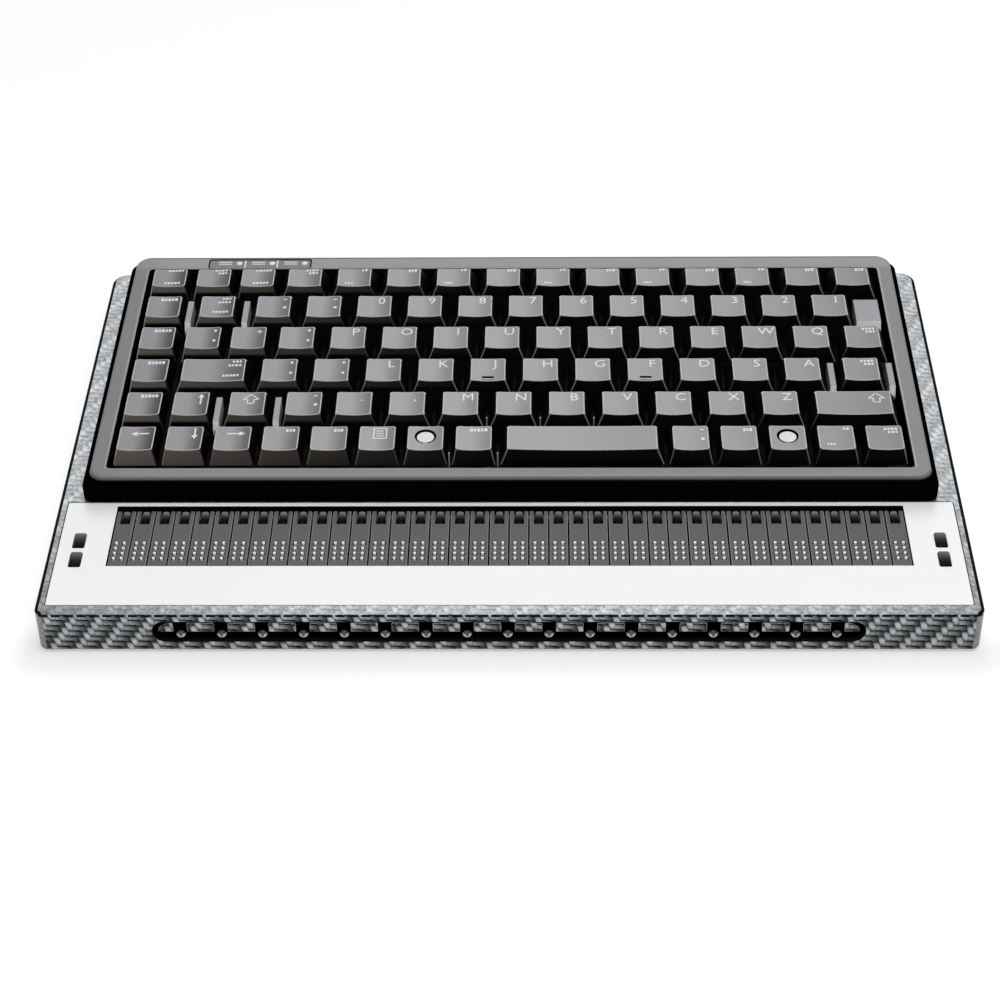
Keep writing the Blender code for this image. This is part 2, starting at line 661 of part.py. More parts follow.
def make_bottom_cover():
    inner = inset_box(Box(-BASE_INNER_HALF, BASE_INNER_HALF, BASE_WALL, BASE_INNER_BACK), SEAT_GAP)
    front_radius = BASE_FRONT_RADIUS - BASE_WALL - SEAT_GAP
    back_radius = BASE_BACK_RADIUS - BASE_WALL - SEAT_GAP
    cover = make_piece(
        "bottom_cover",
        rounded_block(inner, 0, COVER_THICKNESS, front_radius, back_radius),
        BLACK_PLASTIC,
    )
    seats = bmesh.new()
    for name, x, y in foot_places():
        circle = polygon(FOOT_SIDES, FOOT_RADIUS + SEAT_GAP)
        add_prism(seats, moved(circle, x, y), -CUT_OVERRUN, FOOT_SEAT)
    cut(cover, seats)
    base = COVER_THICKNESS - JOIN_OVERLAP
    rib_front = CARRIAGE_BACK + SLIDE_GAP
    rib = Box(-CARRIAGE_HALF, CARRIAGE_HALF, rib_front, rib_front + CARRIAGE_RIB)
    join(cover, block(rib, base, CARRIAGE_RIB_TOP))
    join(cover, bosses(backplane_box(), base, BACKPLANE_BOTTOM - SEAT_GAP))
    join(cover, bosses(main_board_box(), base, BOARD_BOTTOM - SEAT_GAP))


def bosses(box, low, high):
    """Round standoffs near the corners of the board that they carry."""
    bm = bmesh.new()
    for x, y in corners_of(inset_box(box, BOSS_INSET)):
        add_prism(bm, moved(polygon(BOSS_SIDES, BOSS_RADIUS), x, y), low, high)
    return bm


def make_feet():
    top = FOOT_SEAT - SEAT_GAP
    for name, x, y in foot_places():
        radii = (FOOT_RADIUS - FOOT_EDGE, FOOT_RADIUS, FOOT_RADIUS)
        heights = (-FOOT_HEIGHT, FOOT_EDGE - FOOT_HEIGHT, top)
        bm = bmesh.new()
        rings = []
        for radius, z in zip(radii, heights):
            rings.append([(u, v, z) for u, v in polygon(FOOT_SIDES, radius)])
        skin_rings(bm, rings)
        make_piece(name, bm, RUBBER, (x, y, 0))


def make_front_plate():
    outer = Box(-PLATE_HALF, PLATE_HALF, PLATE_FRONT, PLATE_BACK)
    plate = make_piece(
        "front_plate",
        rounded_block(outer, PLATE_BOTTOM, BASE_HEIGHT, PLATE_RADIUS, PLATE_RADIUS),
        SILVER_PLATE,
    )
    low, high = PLATE_BOTTOM - CUT_OVERRUN, BASE_HEIGHT + CUT_OVERRUN
    cut(plate, block(Box(-WINDOW_HALF, WINDOW_HALF, WINDOW_FRONT, WINDOW_BACK), low, high))
    cut(plate, side_button_holes(low, high))


def make_cell_block():
    """The 40 cells side by side on their carrier: one section with two channels."""
    section = [
        (CELL_FRONT, CELL_SEAT_HEIGHT), (CELL_FRONT, CAP_TOP), (CELL_BACK, CAP_TOP),
        (CELL_BACK, CAP_BOTTOM), (NOTCH_FRONT, CAP_BOTTOM), (NOTCH_FRONT, STRIP_FLOOR),
        (CELL_BACK, STRIP_FLOOR), (CELL_BACK, CELL_SEAT_HEIGHT),
        (REED_CHANNEL_BACK, CELL_SEAT_HEIGHT), (REED_CHANNEL_BACK, CAP_BOTTOM),
        (REED_CHANNEL_FRONT, CAP_BOTTOM), (REED_CHANNEL_FRONT, CELL_SEAT_HEIGHT),
    ]
    cells = make_piece(
        "braille_cells", prism(section, -CELLS_HALF, CELLS_HALF, "x"), CAP_GREY
    )
    above = CAP_TOP + CUT_OVERRUN
    grooves = bmesh.new()
    openings = bmesh.new()
    for cell in range(CELLS):
        x = cell_x(cell)
        if cell:
            edge = x - CELL_PITCH / 2
            gap = Box(edge - CELL_GAP / 2, edge + CELL_GAP / 2, CELL_FRONT, CELL_BACK)
            gap = gap._replace(y0=gap.y0 - CUT_OVERRUN, y1=gap.y1 + CUT_OVERRUN)
            add_prism(grooves, corners_of(gap), CAP_TOP - CELL_GROOVE_DEPTH, above)
        add_prism(openings, corners_of(dot_window(x)), CAP_BOTTOM - JOIN_OVERLAP, above)
        notch = Box(x - NOTCH_WIDTH / 2, x + NOTCH_WIDTH / 2, NOTCH_FRONT, CELL_BACK + CUT_OVERRUN)
        add_prism(openings, corners_of(notch), CAP_BOTTOM - JOIN_OVERLAP, above)
    cut(cells, grooves)
    cut(cells, openings)


def dot_window(x):
    """The opening in a cell's cap that its eight dots rise through."""
    half = (DOT_COLUMNS - 1) / 2 * DOT_PITCH + DOT_WIDTH / 2 + DOT_WINDOW_MARGIN
    margin = DOT_WIDTH / 2 + DOT_WINDOW_MARGIN
    return Box(x - half, x + half, FIRST_DOT - margin, LAST_DOT + margin)


def make_braille_pins():
    """The bank of reeds under the caps, with the pins that they lift."""
    channel = Box(-CELLS_HALF, CELLS_HALF, REED_CHANNEL_FRONT, REED_CHANNEL_BACK)
    bank = block(inset_box(channel, SLIDE_GAP), REED_BANK_BOTTOM, REED_BANK_TOP)
    pins = make_piece("braille_pins", bank, PIN_WHITE)
    dots = bmesh.new()
    pin_top = CAP_TOP + DOT_PROUD
    for cell in range(CELLS):
        for column in range(DOT_COLUMNS):
            x = cell_x(cell) + (column - (DOT_COLUMNS - 1) / 2) * DOT_PITCH
            for row in range(DOT_ROWS):
                centre = (x, FIRST_DOT + row * DOT_PITCH)
                outline = moved(polygon(4, DOT_WIDTH / 2), *centre)
                add_prism(dots, outline, REED_BANK_TOP - JOIN_OVERLAP, pin_top)
    join(pins, dots)


def make_routing_buttons():
    """The moulded strip of 40 buttons, one in the notch of each cell."""
    front = NOTCH_FRONT + SLIDE_GAP
    back = front + ROUTING_LENGTH
    strip = Box(-CELLS_HALF, CELLS_HALF, front, back)
    buttons = make_piece("routing_buttons", block(strip, STRIP_BOTTOM, STRIP_TOP), BUTTON_BLACK)
    high = CAP_TOP + ROUTING_PROUD
    base = STRIP_TOP - JOIN_OVERLAP
    side = [(front, base), (front, high - ROUTING_FRONT_DROP), (back, high), (back, base)]
    tops = bmesh.new()
    for cell in range(CELLS):
        x = cell_x(cell)
        add_prism(tops, side, x - ROUTING_WIDTH / 2, x + ROUTING_WIDTH / 2, "x")
    join(buttons, tops)


def backplane_box():
    half = CELLS_HALF - BACKPLANE_END_INSET
    return Box(-half, half, CELL_FRONT, CELL_BACK)


def make_backplane():
    make_piece(
        "cell_backplane", block(backplane_box(), BACKPLANE_BOTTOM, BACKPLANE_TOP), BOARD_GREEN
    )


def main_board_box():
    return Box(-BAY_HALF, -BAY_MIDDLE_GAP / 2, BAY_FRONT, BAY_BACK)


def make_main_board():
    box = main_board_box()
    top = BOARD_BOTTOM + BOARD_THICKNESS
    board = make_piece("main_board", block(box, BOARD_BOTTOM, top), BOARD_GREEN)
    chips = bmesh.new()
    middle = (box.y0 + box.y1) / 2
    for x in (box.x0 + CHIP_SIZE * 2, (box.x0 + box.x1) / 2, box.x1 - CHIP_SIZE * 2):
        chip = Box(x - CHIP_SIZE / 2, x + CHIP_SIZE / 2, middle, middle + CHIP_SIZE)
        add_prism(chips, corners_of(chip), top - JOIN_OVERLAP, top + CHIP_HEIGHT)
    join(board, chips)


def make_battery():
    box = Box(BAY_MIDDLE_GAP / 2, BAY_HALF, BAY_FRONT, BAY_BACK - BATTERY_BACK_MARGIN)
    low, high = COVER_THICKNESS + SEAT_GAP, TUB_BOTTOM - SEAT_GAP
    pack = rounded_block(box, low, high, BATTERY_RADIUS, BATTERY_RADIUS)
    make_piece("battery_pack", pack, BATTERY_BLUE)


def make_side_buttons():
    top = BASE_HEIGHT + SIDE_BUTTON_PROUD
    flange_top = DECK_BOTTOM - SLIDE_GAP
    flange_radius = SIDE_BUTTON_RADIUS + SIDE_BUTTON_FLANGE
    for name, x, y in side_button_places():
        body = side_button_box(0, 0)
        flange = inset_box(body, -SIDE_BUTTON_FLANGE)
        crown = inset_box(body, SIDE_BUTTON_CROWN)
        levels = (
            (flange, flange_radius, flange_top - SIDE_BUTTON_FLANGE_HEIGHT),
            (flange, flange_radius, flange_top),
            (body, SIDE_BUTTON_RADIUS, flange_top),
            (body, SIDE_BUTTON_RADIUS, top - SIDE_BUTTON_CROWN),
            (crown, SIDE_BUTTON_RADIUS - SIDE_BUTTON_CROWN, top),
        )
        rings = []
        for box, radius, z in levels:
            outline = rounded_outline(box, radius, radius, SIDE_BUTTON_CORNER_STEPS)
            rings.append([(u, v, z) for u, v in outline])
        bm = bmesh.new()
        skin_rings(bm, rings)
        make_piece(name, bm, BUTTON_BLACK, (x, y, 0))


def make_navigation_bar():
    """A stadium bar: pads on its upper half, studs along the channel of its lower half."""
    outline = stadium(BAR_HALF, BAR_BOTTOM, BAR_TOP)
    bar = make_piece("navigation_bar", prism(outline, BAR_FACE, BAR_BACK, "y"), CARBON)
    past = BAR_HALF + CUT_OVERRUN
    channel = Box(-past, past, BAR_BOTTOM - CUT_OVERRUN, PAD_BOTTOM)
    cut(bar, prism(corners_of(channel), BAR_FACE - CUT_OVERRUN, BAR_CHANNEL_FLOOR, "y"))
    notches = bmesh.new()
    studs = bmesh.new()
    tongues = bmesh.new()
    notch_floor = BAR_CHANNEL_FLOOR + BAR_NOTCH_EXTRA_DEPTH
    for stud in range(STUDS):
        x = stud_x(stud)
        notch = Box(
            x - BAR_PAD_NOTCH / 2, x + BAR_PAD_NOTCH / 2,
            PAD_BOTTOM - JOIN_OVERLAP, BAR_TOP + CUT_OVERRUN,
        )
        add_prism(notches, corners_of(notch), BAR_FACE - CUT_OVERRUN, notch_floor, "y")
        circle = moved(polygon(STUD_SIDES, STUD_RADIUS), x, STUD_HEIGHT)
        add_prism(studs, circle, BAR_FACE, BAR_CHANNEL_FLOOR + JOIN_OVERLAP, "y")
    for way in (-1, 1):
        outline = corners_of(tongue_box(way, 0))
        add_prism(tongues, outline, BAR_BACK - JOIN_OVERLAP, BAR_BACK + TONGUE_DEPTH, "y")
    cut(bar, notches)
    join(bar, studs)
    join(bar, tongues)


def tongue_box(way, lift):
    """The outline in x and z of a tongue, with the room that its lift needs."""
    x = way * (BAR_HALF - TONGUE_INSET)
    middle = (BAR_BOTTOM + BAR_TOP) / 2
    half_height = TONGUE_HEIGHT / 2 + lift
    low, high = middle - half_height, middle + half_height
    return Box(x - TONGUE_LENGTH / 2, x + TONGUE_LENGTH / 2, low, high)


def make_bar_carriage():
    """The slide behind the bar: it carries the bar sideways on its two tongues."""
    body = Box(-CARRIAGE_HALF, CARRIAGE_HALF, CARRIAGE_FRONT, CARRIAGE_BACK)
    carriage = make_piece("bar_carriage", block(body, CARRIAGE_BOTTOM, CARRIAGE_TOP), BLACK_PLASTIC)
    pockets = bmesh.new()
    for way in (-1, 1):
        room = tongue_box(way, BAR_LIFT_TRAVEL)
        outline = corners_of(inset_box(room, -SLIDE_GAP))
        front = CARRIAGE_FRONT - CUT_OVERRUN
        back = BAR_BACK + TONGUE_DEPTH + SLIDE_GAP
        add_prism(pockets, outline, front, back, "y")
    cut(carriage, pockets)


def make_keyboard_tray():
    """The keyboard's lower shell: a rim that sits on the base and a tub through its deck."""
    rim = Box(-TRAY_HALF, TRAY_HALF, TRAY_FRONT, TRAY_BACK)
    front_radius = FRAME_FRONT_RADIUS + TRAY_FRONT_LEDGE
    back_radius = FRAME_BACK_RADIUS + TRAY_BACK_LEDGE
    tray = make_piece(
        "keyboard_tray",
        rounded_block(rim, TRAY_BOTTOM, TRAY_TOP, front_radius, back_radius),
        BLACK_PLASTIC,
    )
    tub = Box(-TUB_OUTER_HALF, TUB_OUTER_HALF, TUB_FRONT, TUB_BACK)
    tub_radius = TUB_RADIUS + TUB_WALL
    join(tray, rounded_block(tub, TUB_BOTTOM, TRAY_BOTTOM + JOIN_OVERLAP, tub_radius, tub_radius))
    well = inset_box(tub, TUB_WALL)
    cut(tray, rounded_block(well, TUB_FLOOR_TOP, TRAY_TOP + CUT_OVERRUN, TUB_RADIUS, TUB_RADIUS))


def status_window_box():
    left = STATUS_WINDOW_INSET - FRAME_HALF
    front = WELL_BACK + STATUS_WINDOW_FROM_WELL
    return Box(left, left + STATUS_WINDOW_LENGTH, front, front + STATUS_WINDOW_WIDTH)


def make_keyboard_frame():
    outer = Box(-FRAME_HALF, FRAME_HALF, FRAME_FRONT, FRAME_BACK)
    frame = make_piece(
        "keyboard_frame",
        crowned_block(
            outer, FRAME_BOTTOM, FRAME_TOP, FRAME_FRONT_RADIUS, FRAME_BACK_RADIUS, FRAME_EDGE
        ),
        FRAME_GREY,
    )
    well = Box(-WELL_HALF, WELL_HALF, WELL_FRONT, WELL_BACK)
    low, high = FRAME_BOTTOM - CUT_OVERRUN, FRAME_TOP + CUT_OVERRUN
    cut(frame, rounded_block(well, low, high, WELL_RADIUS, WELL_RADIUS))
    window = status_window_box()
    ledge = FRAME_TOP - STATUS_WINDOW_THICKNESS - SEAT_GAP
    cut(frame, block(inset_box(window, -SEAT_GAP), ledge, high))
    cut(frame, block(inset_box(window, STATUS_LEDGE), low, ledge + JOIN_OVERLAP))


def make_status_window():
    low = FRAME_TOP - STATUS_WINDOW_THICKNESS
    make_piece("status_window", block(status_window_box(), low, FRAME_TOP), WINDOW_SMOKE)


def make_status_board():
    """The small board on the tray's rim with the lamps that shine through the window."""
    window = status_window_box()
    box = inset_box(window, STATUS_LEDGE + SEAT_GAP)
    top = FRAME_BOTTOM + STATUS_BOARD_THICKNESS
    board = make_piece("status_board", block(box, FRAME_BOTTOM, top), BOARD_GREEN)
    lamps = bmesh.new()
    middle = (window.y0 + window.y1) / 2
    for lamp in range(LAMP_COUNT):
        x = window.x1 - LAMP_FROM_WINDOW_END - lamp * LAMP_PITCH
        circle = moved(polygon(LAMP_SIDES, LAMP_RADIUS), x, middle)
        add_prism(lamps, circle, top - JOIN_OVERLAP, top + LAMP_HEIGHT)
    join(board, lamps)


def tub_inside():
    return Box(-TUB_INNER_HALF, TUB_INNER_HALF, TUB_FRONT + TUB_WALL, TUB_BACK - TUB_WALL)


def make_key_membrane():
    box = inset_box(tub_inside(), SEAT_GAP)
    sheet = rounded_block(box, TUB_FLOOR_TOP + SEAT_GAP, MEMBRANE_TOP, TUB_RADIUS, TUB_RADIUS)
    make_piece("key_membrane", sheet, BOARD_GREEN)


def is_guided(row, index):
    """Whether a key's own stem reaches down into the plate: on a dome strip, the end keys' do."""
    last = len(lay_row(row.kinds)[0]) - 1
    return bool(row.singles) or index in (0, last)


def stem_offsets(kind):
    """Where a key's stems stand, from its middle: the space bar has one near each end too."""
    if kind is SPACE:
        return (-STABILISER_SPREAD / 2, 0, STABILISER_SPREAD / 2)
    return (0,)


def make_key_plate():
    """The plate that guides the stems, with the fixed ribs that stand between some keys."""
    box = inset_box(tub_inside(), SEAT_GAP)
    low = MEMBRANE_TOP + SEAT_GAP
    plate = make_piece(
        "key_plate", rounded_block(box, low, KEY_PLATE_TOP, TUB_RADIUS, TUB_RADIUS), FIN_GREY
    )
    cut(plate, block(inset_box(box, KEY_PLATE_SKIRT), low - CUT_OVERRUN, KEY_PLATE_BOTTOM))
    guides = bmesh.new()
    ribs = bmesh.new()
    hole = STEM_WIDTH / 2 + SLIDE_GAP
    for row, front in row_fronts():
        keys, fins, length = lay_row(row.kinds)
        middle = front + row.depth / 2
        for index, (centre, kind) in enumerate(keys):
            for offset in stem_offsets(kind):
                x = centre + offset - ROW_LENGTH / 2
                square = Box(x - hole, x + hole, middle - hole, middle + hole)
                if is_guided(row, index):
                    below, above = KEY_PLATE_BOTTOM - CUT_OVERRUN, KEY_PLATE_TOP + CUT_OVERRUN
                    add_prism(guides, corners_of(square), below, above)
        for centre in fins:
            x = centre - ROW_LENGTH / 2
            add_prism(ribs, fin_section(row, front), x - FIN_WIDTH / 2, x + FIN_WIDTH / 2, "x")
        if row.name == FILLER_ROW:
            left = length - ROW_LENGTH / 2 + (FIN_GAP - FIN_WIDTH) / 2
            add_prism(ribs, fin_section(row, front), left, WELL_HALF - FILLER_WELL_GAP, "x")
    cut(plate, guides)
    join(plate, ribs)


def fin_section(row, front):
    """Side view of a fixed rib: a slanted nose, and an arch over the row's dome strip."""
    nose = front - FIN_FRONT_REACH
    back = front + row.depth - FIN_BACK_SETBACK
    base = KEY_PLATE_TOP - JOIN_OVERLAP
    arch = DOME_STRIP_TOP + SLIDE_GAP
    middle = front + row.depth / 2
    half = DOME_STRIP_WIDTH / 2 + SLIDE_GAP
    return [
        (nose, base), (nose, FIN_TOP - FIN_SLANT_HEIGHT), (nose + FIN_SLANT_DEPTH, FIN_TOP),
        (back, FIN_TOP), (back, base), (middle + half, base), (middle + half, arch),
        (middle - half, arch), (middle - half, base),
    ]


def add_key(bm, x, kind, depth, tip, hollow):
    """A cap with a dished top and a stem. A hollow cap's stem hangs from its ceiling."""
    top_front = KEY_FRONT_SLOPE - depth / 2
    top_back = depth / 2 - KEY_BACK_SLOPE
    skirt = Box(x - kind.skirt / 2, x + kind.skirt / 2, -depth / 2, depth / 2)
    ceiling = Box(
        x - kind.top / 2 + KEY_WALL, x + kind.top / 2 - KEY_WALL,
        top_front + KEY_WALL, top_back - KEY_WALL,
    )
    ceiling_height = KEY_HEIGHT - KEY_DISH - KEY_WALL
    half_stem = STEM_WIDTH / 2
    stem = Box(x - half_stem, x + half_stem, -half_stem, half_stem)
    levels = [(skirt, 0), (stem, 0), (stem, tip)]
    if hollow:
        inside = [(inset_box(skirt, KEY_WALL), 0), (ceiling, ceiling_height)]
        levels[1:2] = inside + [(stem, ceiling_height)]
    loops = []
    for box, z in levels:
        loops.append([bm.verts.new((u, v, z)) for u, v in corners_of(box)])
    for outer, inner in zip(loops, loops[1:]):
        for i in range(4):
            j = (i + 1) % 4
            bm.faces.new((outer[i], outer[j], inner[j], inner[i]))
    bm.faces.new(loops[-1])
    front_edge, back_edge = [], []
    for step in range(KEY_DISH_SEGMENTS + 1):
        across = 2 * step / KEY_DISH_SEGMENTS - 1
        z = KEY_HEIGHT - KEY_DISH * (1 - across * across)
        front_edge.append(bm.verts.new((x + across * kind.top / 2, top_front, z)))
        back_edge.append(bm.verts.new((x + across * kind.top / 2, top_back, z)))
    front_left, front_right, back_right, back_left = loops[0]
    for i in range(KEY_DISH_SEGMENTS):
        bm.faces.new((front_edge[i], front_edge[i + 1], back_edge[i + 1], back_edge[i]))
    bm.faces.new([front_left, front_right] + front_edge[::-1])
    bm.faces.new([back_right, back_left] + back_edge)
    bm.faces.new((back_left, front_left, front_edge[0], back_edge[0]))
    bm.faces.new((front_right, back_right, back_edge[-1], front_edge[-1]))


def make_single_keys(row, front):
    """Keys that each move alone."""
    keys = lay_row(row.kinds)[0]
    middle = front + row.depth / 2
    tip = STEM_TIP - SKIRT_BOTTOM
    for name, (centre, kind) in zip(row.singles, keys):
        bm = bmesh.new()
        add_key(bm, 0, kind, row.depth, tip, True)
        at = (centre - ROW_LENGTH / 2, middle, SKIRT_BOTTOM)
        key = make_piece(name, bm, KEY_GREY, at)
        ceiling = KEY_HEIGHT - KEY_DISH - KEY_WALL + JOIN_OVERLAP
        half = STEM_WIDTH / 2
        extra = bmesh.new()
        for offset in stem_offsets(kind):
            if offset:
                stem = Box(offset - half, offset + half, -half, half)
                add_prism(extra, corners_of(stem), tip, ceiling)
        if extra.verts:
            join(key, extra, at)


def make_key_row(row, front):
    """A row of keys on the strip of rubber domes that carries it."""
    keys = lay_row(row.kinds)[0]
    middle = front + row.depth / 2
    at = (0, middle, SKIRT_BOTTOM)
    low = DOME_STRIP_BOTTOM - SKIRT_BOTTOM
    high = DOME_STRIP_TOP - SKIRT_BOTTOM
    left = keys[0][0] - ROW_LENGTH / 2 - STEM_WIDTH
    right = keys[-1][0] - ROW_LENGTH / 2 + STEM_WIDTH
    strip = Box(left, right, -DOME_STRIP_WIDTH / 2, DOME_STRIP_WIDTH / 2)
    group = make_piece(f"{row.name}_row_keys", block(strip, low, high), KEY_GREY, at)
    caps = bmesh.new()
    for index, (centre, kind) in enumerate(keys):
        tip = STEM_TIP - SKIRT_BOTTOM if is_guided(row, index) else (low + high) / 2
        add_key(caps, centre - ROW_LENGTH / 2, kind, row.depth, tip, False)
    join(group, caps, at)


def make_keys():
    for row, front in row_fronts():
        if row.singles:
            make_single_keys(row, front)
        else:
            make_key_row(row, front)


def make_usb_socket():
    """A steel shell open to the rear, at the rear edge of the main board."""
    back = BASE_DEPTH - SOCKET_SETBACK
    half_width, half_height = SOCKET_WIDTH / 2, SOCKET_HEIGHT / 2
    low, high = SOCKET_CENTRE_HEIGHT - half_height, SOCKET_CENTRE_HEIGHT + half_height
    outside = Box(SOCKET_X - half_width, SOCKET_X + half_width, low, high)
    shell = prism(corners_of(outside), back - SOCKET_LENGTH, back, "y")
    socket = make_piece("usb_socket", shell, STEEL)
    bore = corners_of(inset_box(outside, SOCKET_WALL))
    cut(socket, prism(bore, back - SOCKET_BORE_DEPTH, back + CUT_OVERRUN, "y"))


def make_power_switch():
    """A slide behind the rear wall with a small knob in the wall's slot."""
    half_height = SWITCH_SLIDE_HEIGHT / 2
    half_width = SWITCH_SLIDE_WIDTH / 2
    slide = corners_of(Box(-half_width, half_width, -half_height, half_height))
    back = BASE_INNER_BACK - SLIDE_GAP
    at = (SWITCH_X, 0, SOCKET_CENTRE_HEIGHT)
    switch = make_piece(
        "power_switch", prism(slide, back - SWITCH_SLIDE_DEPTH, back, "y"), BLACK_PLASTIC, at
    )
    half_width, half_height = SWITCH_KNOB_WIDTH / 2, SWITCH_KNOB_HEIGHT / 2
    knob = corners_of(Box(-half_width, half_width, -half_height, half_height))
    join(switch, prism(knob, back - JOIN_OVERLAP, BASE_DEPTH - SWITCH_SETBACK, "y"), at)


def main():
    clear_scene()
    make_datum()
    make_base_housing()
    make_bottom_cover()
    make_feet()
    make_front_plate()
    make_cell_block()
    make_braille_pins()
    make_routing_buttons()
    make_backplane()
    make_main_board()
    make_battery()
    make_side_buttons()
    make_navigation_bar()
    make_bar_carriage()
    make_keyboard_tray()
    make_keyboard_frame()
    make_status_window()
    make_status_board()
    make_key_membrane()
    make_key_plate()
    make_keys()
    make_usb_socket()
    make_power_switch()


if __name__ == "__main__":
    main()
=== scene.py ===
"""Looks of a braille notetaker: a carbon-look case, a line of 40 braille cells and a keyboard.

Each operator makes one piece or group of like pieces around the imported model, in metres.
"""

import math
from collections import namedtuple

import bmesh
import bpy
from bpy.props import FloatProperty, FloatVectorProperty, IntProperty, PointerProperty
from mathutils import Matrix, Vector


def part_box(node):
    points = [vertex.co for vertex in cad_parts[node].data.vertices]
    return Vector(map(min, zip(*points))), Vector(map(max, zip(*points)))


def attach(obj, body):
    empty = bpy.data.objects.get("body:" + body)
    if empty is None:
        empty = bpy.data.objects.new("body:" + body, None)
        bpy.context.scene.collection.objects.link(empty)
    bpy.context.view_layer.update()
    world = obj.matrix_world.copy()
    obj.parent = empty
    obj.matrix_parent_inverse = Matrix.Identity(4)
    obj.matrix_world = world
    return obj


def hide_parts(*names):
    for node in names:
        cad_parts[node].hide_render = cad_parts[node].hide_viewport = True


bl_info = {
    "name": "Braille notetaker",
    "version": (1, 0, 0),
    "blender": (4, 5, 0),
    "location": "View3D > Sidebar > Notetaker",
    "description": "Makes the pieces and finishes of a braille notetaker",
    "category": "Object",
}

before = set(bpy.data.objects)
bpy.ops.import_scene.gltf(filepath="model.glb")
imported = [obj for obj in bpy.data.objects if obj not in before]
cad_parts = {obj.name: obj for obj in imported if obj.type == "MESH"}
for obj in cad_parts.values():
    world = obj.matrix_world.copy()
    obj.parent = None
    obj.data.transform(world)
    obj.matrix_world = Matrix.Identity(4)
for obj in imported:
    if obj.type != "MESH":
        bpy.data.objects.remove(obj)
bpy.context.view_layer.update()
MM = 0.001

Box = namedtuple("Box", "low high")
CASE = Box(*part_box("base_housing"))
PLATE = Box(*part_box("front_plate"))
CELLS = Box(*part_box("braille_cells"))
BAR = Box(*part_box("navigation_bar"))
TRAY = Box(*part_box("keyboard_tray"))
RIM = Box(*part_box("keyboard_frame"))
GLASS = Box(*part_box("status_window"))
SOCKET = Box(*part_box("usb_socket"))
SWITCH = Box(*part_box("power_switch"))
KEYS_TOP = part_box("space_bar")[1].z
DECK = CASE.high.z
SIDE_BUTTONS = [f"button_{side}_{end}" for side in ("left", "right") for end in ("front", "rear")]

# How far cutters reach below the deck and above what they cut
UNDER, ABOVE = 5 * MM, 2 * MM
# Walls of the case and of the keyboard tray
WALL = 2.2 * MM
# Rails of the keyboard frame: at its sides, in front and behind
SIDE_RAIL, FRONT_RAIL, BACK_RAIL = 5.5 * MM, 4.5 * MM, 8.5 * MM
# How far a key's top is set in from its skirt, in front and behind
FRONT_SLOPE, BACK_SLOPE = 1.65 * MM, 3.45 * MM
# Half the thickness of what is printed on a key
MARK_HALF = 0.04 * MM
# Places of the finishes in a key's list of materials
TOP, SIDE, EDGE, CORNER, MARK, BLACK = range(6)

SMALL, LETTER, ENTER, WIDE, SPACE, RIB = "small", "letter", "enter", "wide", "space", "rib"
# Widths of a key's skirt and of its top
KEY_WIDTHS = {
    SMALL: (14.8 * MM, 12.0 * MM),
    LETTER: (16.75 * MM, 12.0 * MM),
    ENTER: (26.2 * MM, 21.7 * MM),
    WIDE: (30.3 * MM, 25.5 * MM),
    SPACE: (54.6 * MM, 49.8 * MM),
}
# Each row: its kinds of key, the nodes of keys that move by themselves, and the marks, left to
# right: a letter, a number or a sign, or the name of a drawn mark
ROWS = {
    "bottom": (
        (SMALL,) * 8 + (SPACE,) + (SMALL,) * 5,
        "key_arrow_left key_arrow_down key_arrow_right key_insert key_delete key_menu"
        " key_system_left key_alt_gr space_bar key_accent key_alt key_system_right key_fn key_ctrl",
        "left down right short short menu dome long bare pair short dome low double",
    ),
    "lower_letter": (
        (SMALL, SMALL, RIB, LETTER, RIB, SMALL) + (LETTER,) * 9 + (WIDE,),
        "key_end key_arrow_up key_shift_small key_slash key_period key_comma key_m key_n key_b"
        " key_v key_c key_x key_z key_shift_wide",
        "long up shift pair . , M N B V C X Z shift",
    ),
    "home": (
        (SMALL, ENTER) + (LETTER,) * 11 + (RIB, LETTER, RIB), "",
        "long triple dots dots L K J H G F D S A double",
    ),
    "upper_letter": (
        (SMALL,) * 3 + (LETTER,) * 12, "",
        "long dots plus dots P O I U Y T R E W Q double",
    ),
    "number": (
        (SMALL, RIB, LETTER, RIB) + (LETTER,) * 12, "",
        "long triple pair pair 0 9 8 7 6 5 4 3 2 1",
    ),
    "function": (
        (SMALL,) * 3 + (LETTER,) * 12, "",
        "split double split double" + " low short" * 5 + " short",
    ),
}
# Keys with a raised bar for finding them by touch: the row, and the place in it
HOME_BARS = {("home", 6), ("home", 9)}
# Thin pale strips between two skirts, as painted light seen through the gap: the row, and the key
# to the left of the gap
PAINTED_GAP_LIGHTS = {("bottom", 6), ("bottom", 7), *(("lower_letter", key) for key in (6, 7, 8))}

# Rows of small blocks in place of words, in millimetres: widths, right end against that of the
# marks, middle and height
FIVE = (0.7, 1.0, 0.8, 0.9, 0.7)
WORDS = {
    "short": [((0.8, 0.6, 0.9), 0, 3.2, 1.5)],
    "long": [((1.1, 0.7, 1.0, 0.7, 1.0), 0, 3.3, 1.5)],
    "double": [((0.9, 0.7, 1.0, 0.8), 0, 3.6, 1.1), ((0.8, 1.0, 0.7), 0, 1.9, 1.1)],
    "triple": [
        ((0.8, 0.9, 0.7), 0, 3.8, 1.1), ((0.9, 0.7, 1.0, 0.8), 0, 1.7, 1.1),
        (FIVE, -0.5, -4.0, 1.1),
    ],
    "split": [((0.8, 1.0, 0.7, 0.9, 0.7), 0, 3.6, 1.2), (FIVE, -0.6, -4.0, 1.2)],
    "low": [((0.7, 0.9), 0, 3.6, 1.2), ((0.6, 0.8, 0.6), -5.0, -4.2, 1.0)],
    "pair": [((1.3,), 0, 3.2, 0.5), ((1.1,), 0, -1.6, 1.2)],
    "dots": [((0.9,), 0, 3.2, 1.2), ((1.0,), 0, -2.6, 1.1)],
}
